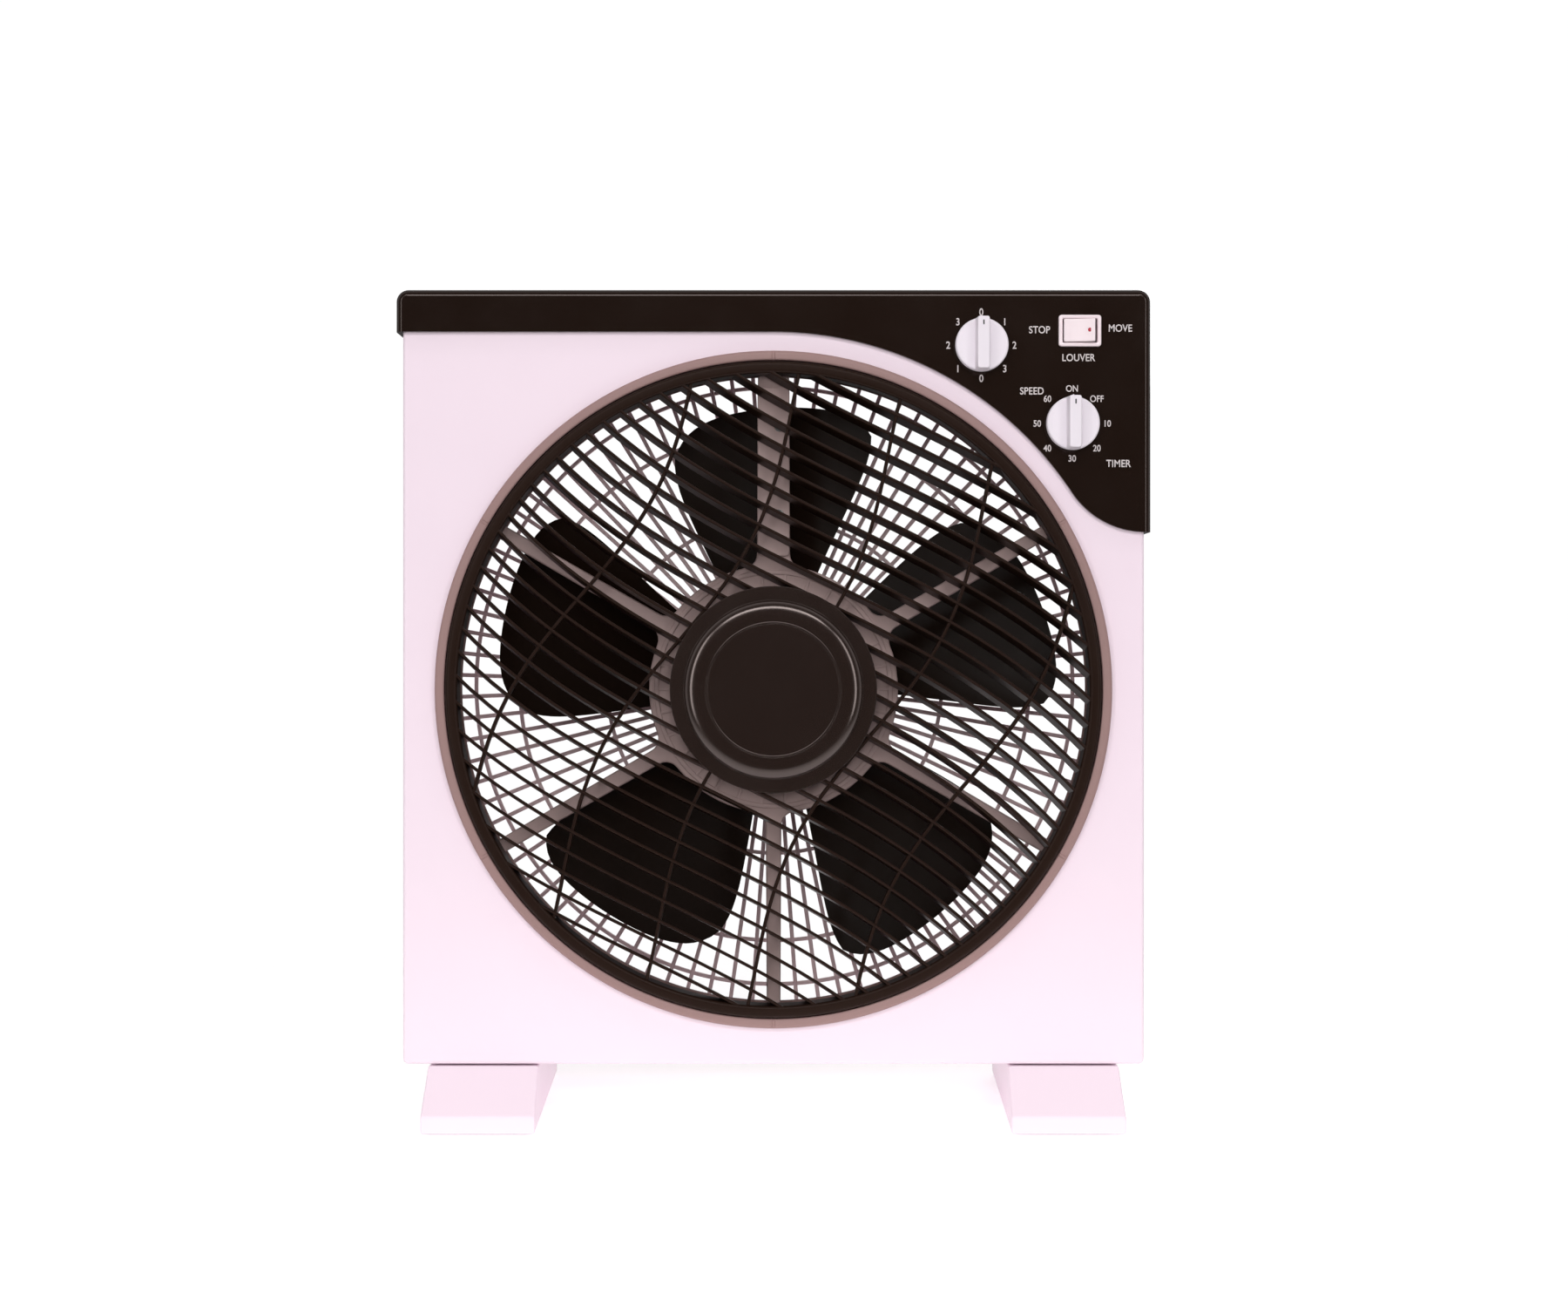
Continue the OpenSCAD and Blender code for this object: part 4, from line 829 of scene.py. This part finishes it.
def fan_blade():
    hub = rounded([(0, NUT_Y), (FAN_HUB_R - 5, NUT_Y), (FAN_HUB_R, NUT_Y + 5), (FAN_HUB_R, 3), (FAN_HUB_R - 2.5, 3),
                   (FAN_HUB_R - 2.5, NUT_Y + 6), (FAN_HUB_R - 6, NUT_Y + 3), (9, NUT_Y + 3), (9, -2), (4, -2)],
                  [0, 3, 3, 0.6, 0.6, 1, 1, 1, 0.5, 0], 4, closed=False)
    shape = Shape().add(lathe([tuple(p) for p in hub] + [(4, NUT_Y)], 144))
    for i in range(BLADES):
        shape.add(turned_y(blade(), 20.5 + 72 * i))
    shape.piece("fan_moulding", "rotor", BLADE_BLACK, "blade_black", "fan_blade", crisp=50)


def blade_nut():
    lo, hi = box_mm("blade_nut")
    grip = []
    for k in range(144):
        a = 360 * k / 144
        grip.append(polar(12.5 - 0.9 * max(0, math.cos(math.radians(12 * a))) ** 3, a))
    shape = Shape().add(extruded(grip, lo.y + 1.2, hi.y, 1.6, 0.3, [circle(4, 96)]))
    shape.add(lathe(rounded([(0, lo.y), (8.5, lo.y), (9.5, lo.y + 2), (0, lo.y + 2)], [0, 1.2, 0, 0], 4), 96))
    shape.piece("blade_nut_moulding", "rotor", BLADE_BLACK, "blade_black", "blade_nut")


# ---------------------------------------------------------------- rear grille

def rear_grille():
    y0, y1 = GRILLE_LO.y, GRILLE_HI.y
    ears = [circle(1.4, 24, polar(EAR_AT, a)) for a in GRILLE_EARS]
    shape = Shape().add(extruded(eared(0), y0, y1, 0.4, 0.7, [circle(GRILLE_R - 2.6, 288)] + ears))
    for r in (163.2, 139.3, 91.5):
        ring = [(r - 1, y0 + 0.3), (r + 1, y0 + 0.3), (r + 1, y1 - 0.2), (r - 1, y1 - 0.2)]
        shape.add(lathe(rounded(ring, 0.6, 3), 240))
    shape.add(lathe(rounded([(48, y0), (55.5, y0), (55.5, y1), (48, y1)], [0.3, 0.6, 0.6, 0.4], 3), 144))
    bar = rounded([(-1.1, y0 + 0.1), (1.1, y0 + 0.1), (1.1, y1 - 0.1), (-1.1, y1 - 0.1)], 0.6, 3)
    for i in range(90):
        shape.add(turned_y(swept([Vector((54.5, 0)), Vector((GRILLE_R - 1.2, 0))], bar), 4 * i + 2))
    shape.piece("rear_grille_moulding", "housing", GRILLE_TAUPE, "grille_taupe", "rear_grille")


# ---------------------------------------------------------------- controls

def knob(name, centre, body, node):
    """A dial with a shallow dished face and a grip standing across it."""
    front, rear = KNOB_LO.y, KNOB_HI.y
    face = rear - 4.5
    r = 13
    skirt = rounded([(3, face + 0.25), (10.5, face + 0.25), (r, face), (r, rear), (9, rear), (9, rear - 2.8),
                     (3, rear - 2.8)], [0, 1.5, 1.3, 0.25, 0.2, 0.2, 0], 5)
    shape = Shape(centre).add(lathe(skirt, 144))
    long = r - 0.1
    grip = []
    for y, w, reach in ((face + 1.2, 3.7, 0.0), (face - 0.2, 3.45, 0.05), (face - 3, 3.2, 0.15),
                        (front + 0.8, 3.0, 0.25), (front + 0.22, 2.75, 0.4), (front, 2.2, 0.8)):
        ring = rectangle(-w, w, -long + reach, long - reach, 1.1, 4)
        grip.append([(p.x, y, p.y) for p in ring])
    shape.add(skinned(grip))
    tip = [Vector((-2, r - 0.8)), Vector((2, r - 0.8)), Vector((0, r + 1.15))]
    shape.add(extruded(rounded(tip, [0, 0, 0.3], 3), face + 0.4, rear, 0.4, 0.2))
    shape.piece(name, body, DIAL, "dial_grey", node)
    line = rectangle(-0.35, 0.35, long - 4.6, long - 2.2, 0.3, 3)
    mark = Shape(centre).add(extruded(line, front - 0.04, front + 0.2, 0, 0))
    mark.piece(name + "_mark", body, DARK_INNER, "inner_plastic")


def rocker():
    """The rocker switch: a bezel with a sunk well, and a button dished towards its pivot."""
    lo, hi = BEZEL_LO, BEZEL_HI
    centre = flat(ROCKER_AT)
    half_x, half_z = (hi.x - lo.x) / 2, (hi.z - lo.z) / 2
    well = rectangle(-8.5, 8.5, -5.9, 5.9, 0.6, 3)
    shape = Shape(centre)
    shape.add(extruded(rectangle(-half_x, half_x, -half_z, half_z, 1.4), lo.y, PANEL_Y, 0.7, 0.05, [well]))
    box = rectangle(-9.45, 9.45, -6.5, 6.5, 0.8)
    shape.add(extruded(box, PANEL_Y, PANEL_Y + 10, 0, 0.3, [well]))
    shape.add(extruded(box, PANEL_Y + 9, hi.y, 0.1, 0.5))
    shape.piece("rocker_frame", "housing", ROCKER, "rocker_white", "rocker_bezel")

    tilt = math.radians(-7.5)
    c, s = math.cos(tilt), math.sin(tilt)

    def tipped(x, y, z):
        return x * c - y * s, x * s + y * c, z

    top = PANEL_Y - 3.6 - ROCKER_AT.y
    side = smooth_profile([(-7.6, top - 0.4), (-4, top + 0.25), (0, top + 0.5), (4, top + 0.25), (7.6, top - 0.4)], 4)
    outline = side + [Vector((7.6, top + 4.5)), Vector((5, PANEL_Y + 5 - ROCKER_AT.y)),
                      Vector((-5, PANEL_Y + 5 - ROCKER_AT.y)), Vector((-7.6, top + 4.5))]
    outline = rounded(outline, [0.5] + [0] * (len(side) - 2) + [0.5, 0.4, 0.4, 0.4, 0.4], 3)
    rings = [[tipped(p.x, p.y, z) for p in inset(outline, cut)] for z, cut in edge_levels(-5.6, 5.6, 0.5, 0.5, 3)]
    button = Shape(ROCKER_AT).add(skinned(rings))
    button.piece("rocker_cap", "rocker", ROCKER, "rocker_white", "rocker_button")
    dot_x, dot_y = 5.1, top + 0.06
    points, faces = lathe([(0, -0.06), (0.95, -0.06), (1.05, 0.12), (0, 0.12)], 32)
    dot = Shape(ROCKER_AT).add(([tipped(x + dot_x, y + dot_y, z) for x, y, z in points], faces))
    dot.piece("rocker_dot", "rocker", RED_INK, "lead_insulation")


def lettering():
    """The dial numbers and the words beside the controls, printed on the panel."""
    marks = []
    for k, word in enumerate(["0", "1", "2", "3", "0", "1", "2", "3"]):
        marks.append((word, SPEED_AT, polar(16.3, 90 - 45 * k), 3.7))
    for k, word in enumerate(["ON", "OFF", "10", "20", "30", "40", "50", "60"]):
        marks.append((word, TIMER_AT, polar(17.2, 90 - 45 * k), 3.3))
    marks += [("SPEED", SPEED_AT, Vector((24.9, -22.5)), 3.7), ("TIMER", TIMER_AT, Vector((22.8, -19.7)), 3.7),
              ("STOP", ROCKER_AT, Vector((-19.8, 0.4)), 3.7), ("MOVE", ROCKER_AT, Vector((20.0, 1.2)), 3.7),
              ("LOUVER", ROCKER_AT, Vector((-0.6, -13.3)), 3.7)]
    shape = Shape()
    for word, centre, offset, height in marks:
        curve = bpy.data.curves.new("word", "FONT")
        curve.body = word
        curve.align_x = "CENTER"
        curve.align_y = "CENTER"
        curve.size = height * 1.36
        curve.space_character = 1.02
        curve.offset = 0.07
        curve.extrude = 0.03
        holder = linked("word", curve)
        mesh = baked(holder)
        squeeze = 0.86
        points = [(v.co.x * squeeze + centre.x + offset.x, PANEL_Y - v.co.z, v.co.y + centre.z + offset.y)
                  for v in mesh.vertices]
        shape.add((points, [list(f.vertices) for f in mesh.polygons]))
        bpy.data.objects.remove(holder)
        bpy.data.curves.remove(curve)
        bpy.data.meshes.remove(mesh)
    shape.piece("panel_lettering", "housing", INK, "dial_grey", closed=False)


# ---------------------------------------------------------------- feet and inlet

def foot_skin(lo, hi, mirror, cut):
    """A foot's side view drawn across its width, tapering to the back and shrunk by a wall, open below."""
    width, taper, toe_z = hi.x - lo.x, 5.5, 9 - AXIS.z
    top = hi.z - 0.8 - cut
    y0, y1, low = lo.y + cut, hi.y - cut, toe_z - 0.4 * cut
    side = rounded([(y0, lo.z), (y1, lo.z), (y1, low), (REAR_Y - 0.6 * cut, top), (FRONT_Y + 0.6 * cut, top),
                    (y0, low)], [0, 0, 2.5, 1.2, 1.2, 2.5], 6)
    rings = []
    for x, depth in edge_levels(cut, width - cut, 1.1, 1.1, 4):
        ring = []
        for p in inset(side, depth):
            span = 1 - taper / width * (p.x - lo.y) / (hi.y - lo.y)
            ring.append((hi.x - x * span if mirror else lo.x + x * span, p.x, p.y))
        rings.append(ring)
    return rings


def foot_wall(lo, hi, mirror):
    """The outer and inner skins of a foot, joined round the open sole."""
    outer, inner = foot_skin(lo, hi, mirror, 0), foot_skin(lo, hi, mirror, WALL)
    n, levels = len(outer[0]), len(outer)
    points = [p for ring in outer + inner for p in ring]
    shift = n * levels
    faces = []
    for base in (0, shift):
        for k in range(levels - 1):
            faces += band(base + k * n, base + (k + 1) * n, n)[1:]
        faces += [[base + i for i in range(n)], [base + shift - n + i for i in range(n)]]
    for k in range(levels - 1):
        for i in (0, 1):
            a, b = k * n + i, (k + 1) * n + i
            faces.append([a, b, b + shift, a + shift])
    for k in (0, levels - 1):
        faces.append([k * n, k * n + 1, k * n + 1 + shift, k * n + shift])
    return points, faces


def foot(name, node, mirror):
    """A hollow foot, open below, with its ribs, screw posts and the seats of its pads."""
    lo, hi = box_mm(node)
    Shape().add(foot_wall(lo, hi, mirror)).piece(name, "housing", WHITE, "shell_white", node)
    way, width, top = -1 if mirror else 1, hi.x - lo.x, hi.z - 0.8
    middle = (lo.x + hi.x) / 2
    inside = Shape()
    for y in (-30, 36):
        inside.add(tube_z(5, 1.8, top - 11.2, hi.z, (middle, y)))
    for y in (-58, 58):
        for x in (middle - 16 * way, middle + 12 * way):
            inside.add(tube_z(7.4, 6, lo.z, lo.z + 3, (x, y)))
            inside.add(tube_z(7.4, 0, lo.z + 3, lo.z + 11, (x, y)))
    for y in (-42, -14, 12, 46):
        long = width - 5.5 * (y - lo.y) / (hi.y - lo.y) - 2
        x = (hi.x if mirror else lo.x) + way * (1 + long / 2)
        plan = rectangle(x - long / 2, x + long / 2, lo.z + 2, top - 1)
        inside.add(extruded(plan, y - 0.8, y + 0.8, 0.1, 0.1))
    inside.piece(name + "_inside", "housing", WHITE, "shell_white")


def tube_z(outer, inner, z0, z1, centre, segments=40):
    """An upright tube, or a rod where the inner radius is 0."""
    section = [(inner, z0), (outer, z0), (outer, z1), (inner, z1)]
    points, faces = lathe(section, segments)
    return [(centre[0] + x, centre[1] + z, y) for x, y, z in points], faces


def cord_inlet():
    """The rubber gland: a square plug through the shell, with a round collar outside."""
    bore = circle(3.6, 48, INLET_AT)
    shape = Shape().add(extruded(square_seat(INLET_HALF), INLET_LO.y + 2, REAR_Y - 0.3, 0, 0, [bore]))
    shape.add(extruded(square_seat(INLET_HALF + 1.5), INLET_LO.y, INLET_LO.y + 2.5, 0.4, 0.3, [bore]))
    shape.add(extruded(circle(8.5, 64, INLET_AT), REAR_Y, INLET_HI.y, 0.1, 0.8, [bore]))
    shape.piece("inlet_gland", "housing", RUBBER, "black_rubber", "cord_inlet")


# ---------------------------------------------------------------- studio

def floor_paint():
    """A pale floor that glows a little and dissolves into the background away from the fan."""
    material = plastic("floor_paint", (0.93, 0.92, 0.92), (0.91, 0.9, 0.9), (0.6, 0.7), 0.02, 300)
    nodes, links = material.node_tree.nodes, material.node_tree.links
    shader = nodes["Principled BSDF"]
    shader.inputs["Emission Color"].default_value = (1, 1, 1, 1)
    shader.inputs["Emission Strength"].default_value = 0.44
    where = nodes.new("ShaderNodeTexCoord")
    length = nodes.new("ShaderNodeVectorMath")
    length.operation = "LENGTH"
    links.new(where.outputs["Object"], length.inputs[0])
    fade = nodes.new("ShaderNodeMapRange")
    fade.inputs["From Min"].default_value = 0.25
    fade.inputs["From Max"].default_value = 0.7
    fade.inputs["To Min"].default_value = 1
    fade.inputs["To Max"].default_value = 0
    links.new(length.outputs["Value"], fade.inputs["Value"])
    links.new(fade.outputs["Result"], shader.inputs["Alpha"])
    return material


def studio():
    view_distance_m, view_side_m, view_rise_m = 0.98, 0.0052, 0.0177
    camera = linked("camera", bpy.data.cameras.new("camera"))
    camera.location = (view_side_m, FRONT_Y * MM - view_distance_m, AXIS.z * MM + view_rise_m)
    camera.rotation_euler = (math.radians(90), 0, 0)
    camera.data.sensor_width = 36
    camera.data.lens = 45.6
    bpy.context.scene.camera = camera

    mesh = bpy.data.meshes.new("floor")
    far = 3
    mesh.from_pydata([(-far, -far, 0), (far, -far, 0), (far, far, 0), (-far, far, 0)], [], [(0, 1, 2, 3)])
    mesh.materials.append(floor_paint())
    floor = linked("floor", mesh)

    for name, place, size, power, mirrored in (
        ("front_high", (0.0, -1.5, 1.15), (1.4, 0.35), 10.0, True),
        ("side_left", (-0.85, -1.35, 0.4), (0.3, 1.0), 4.0, True),
        ("side_right", (0.85, -1.35, 0.4), (0.3, 1.0), 3.6, True),
        ("front_fill", (0.0, -1.5, 0.45), (0.5, 0.4), 4.9, False),
        ("over_top", (0.0, -0.35, 1.5), (1.3, 0.3), 2.5, False),
        ("back_soft", (0.7, 1.7, 0.9), (1.0, 0.6), 7.0, True),
    ):
        light = bpy.data.lights.new(name, "AREA")
        light.shape = "RECTANGLE"
        light.size, light.size_y = size
        light.energy = power
        lamp = linked(name, light)
        lamp.location = place
        lamp.visible_glossy = mirrored
        lamp.visible_camera = False
        aim = Vector((0, 0, AXIS.z * MM)) - Vector(place)
        lamp.rotation_euler = aim.to_track_quat("-Z", "Y").to_euler()

    world = bpy.data.worlds.new("studio")
    bpy.context.scene.world = world
    world.use_nodes = True
    nodes, links = world.node_tree.nodes, world.node_tree.links
    background = nodes["Background"]
    seen = nodes.new("ShaderNodeBackground")
    seen.inputs["Color"].default_value = (1, 0.995, 0.995, 1)
    seen.inputs["Strength"].default_value = 1.02
    where = nodes.new("ShaderNodeTexCoord")
    split = nodes.new("ShaderNodeSeparateXYZ")
    links.new(where.outputs["Generated"], split.inputs["Vector"])
    fade = nodes.new("ShaderNodeMapRange")
    fade.inputs["From Min"].default_value = -1
    fade.inputs["From Max"].default_value = 1
    links.new(split.outputs["Y"], fade.inputs["Value"])
    belt = nodes.new("ShaderNodeValToRGB")
    links.new(fade.outputs["Result"], belt.inputs["Fac"])
    stops = ((0, 0.08), (0.25, 0.1), (0.42, 0.75), (0.6, 0.75), (0.8, 0.15), (1, 0.12))
    for k, (at, level) in enumerate(stops):
        stop = belt.color_ramp.elements[k] if k < 2 else belt.color_ramp.elements.new(at)
        stop.position = at
        stop.color = (level, level * 0.985, level * 0.99, 1)
    links.new(belt.outputs["Color"], background.inputs["Color"])
    path = nodes.new("ShaderNodeLightPath")
    mix = nodes.new("ShaderNodeMixShader")
    links.new(path.outputs["Is Camera Ray"], mix.inputs["Fac"])
    links.new(background.outputs["Background"], mix.inputs[1])
    links.new(seen.outputs["Background"], mix.inputs[2])
    links.new(mix.outputs["Shader"], nodes["World Output"].inputs["Surface"])
    bpy.context.scene.view_settings.view_transform = "Standard"


studio()
front_shell()
rear_shell()
top_cover()
guard()
arm_cover()
louver_grille()
louver_cap()
fan_blade()
blade_nut()
rear_grille()
knob("speed_dial_moulding", SPEED_AT, "speed_dial", "speed_knob")
knob("timer_dial_moulding", TIMER_AT, "timer_dial", "timer_knob")
rocker()
lettering()
foot("left_foot_moulding", "foot_left", False)
foot("right_foot_moulding", "foot_right", True)
cord_inlet()
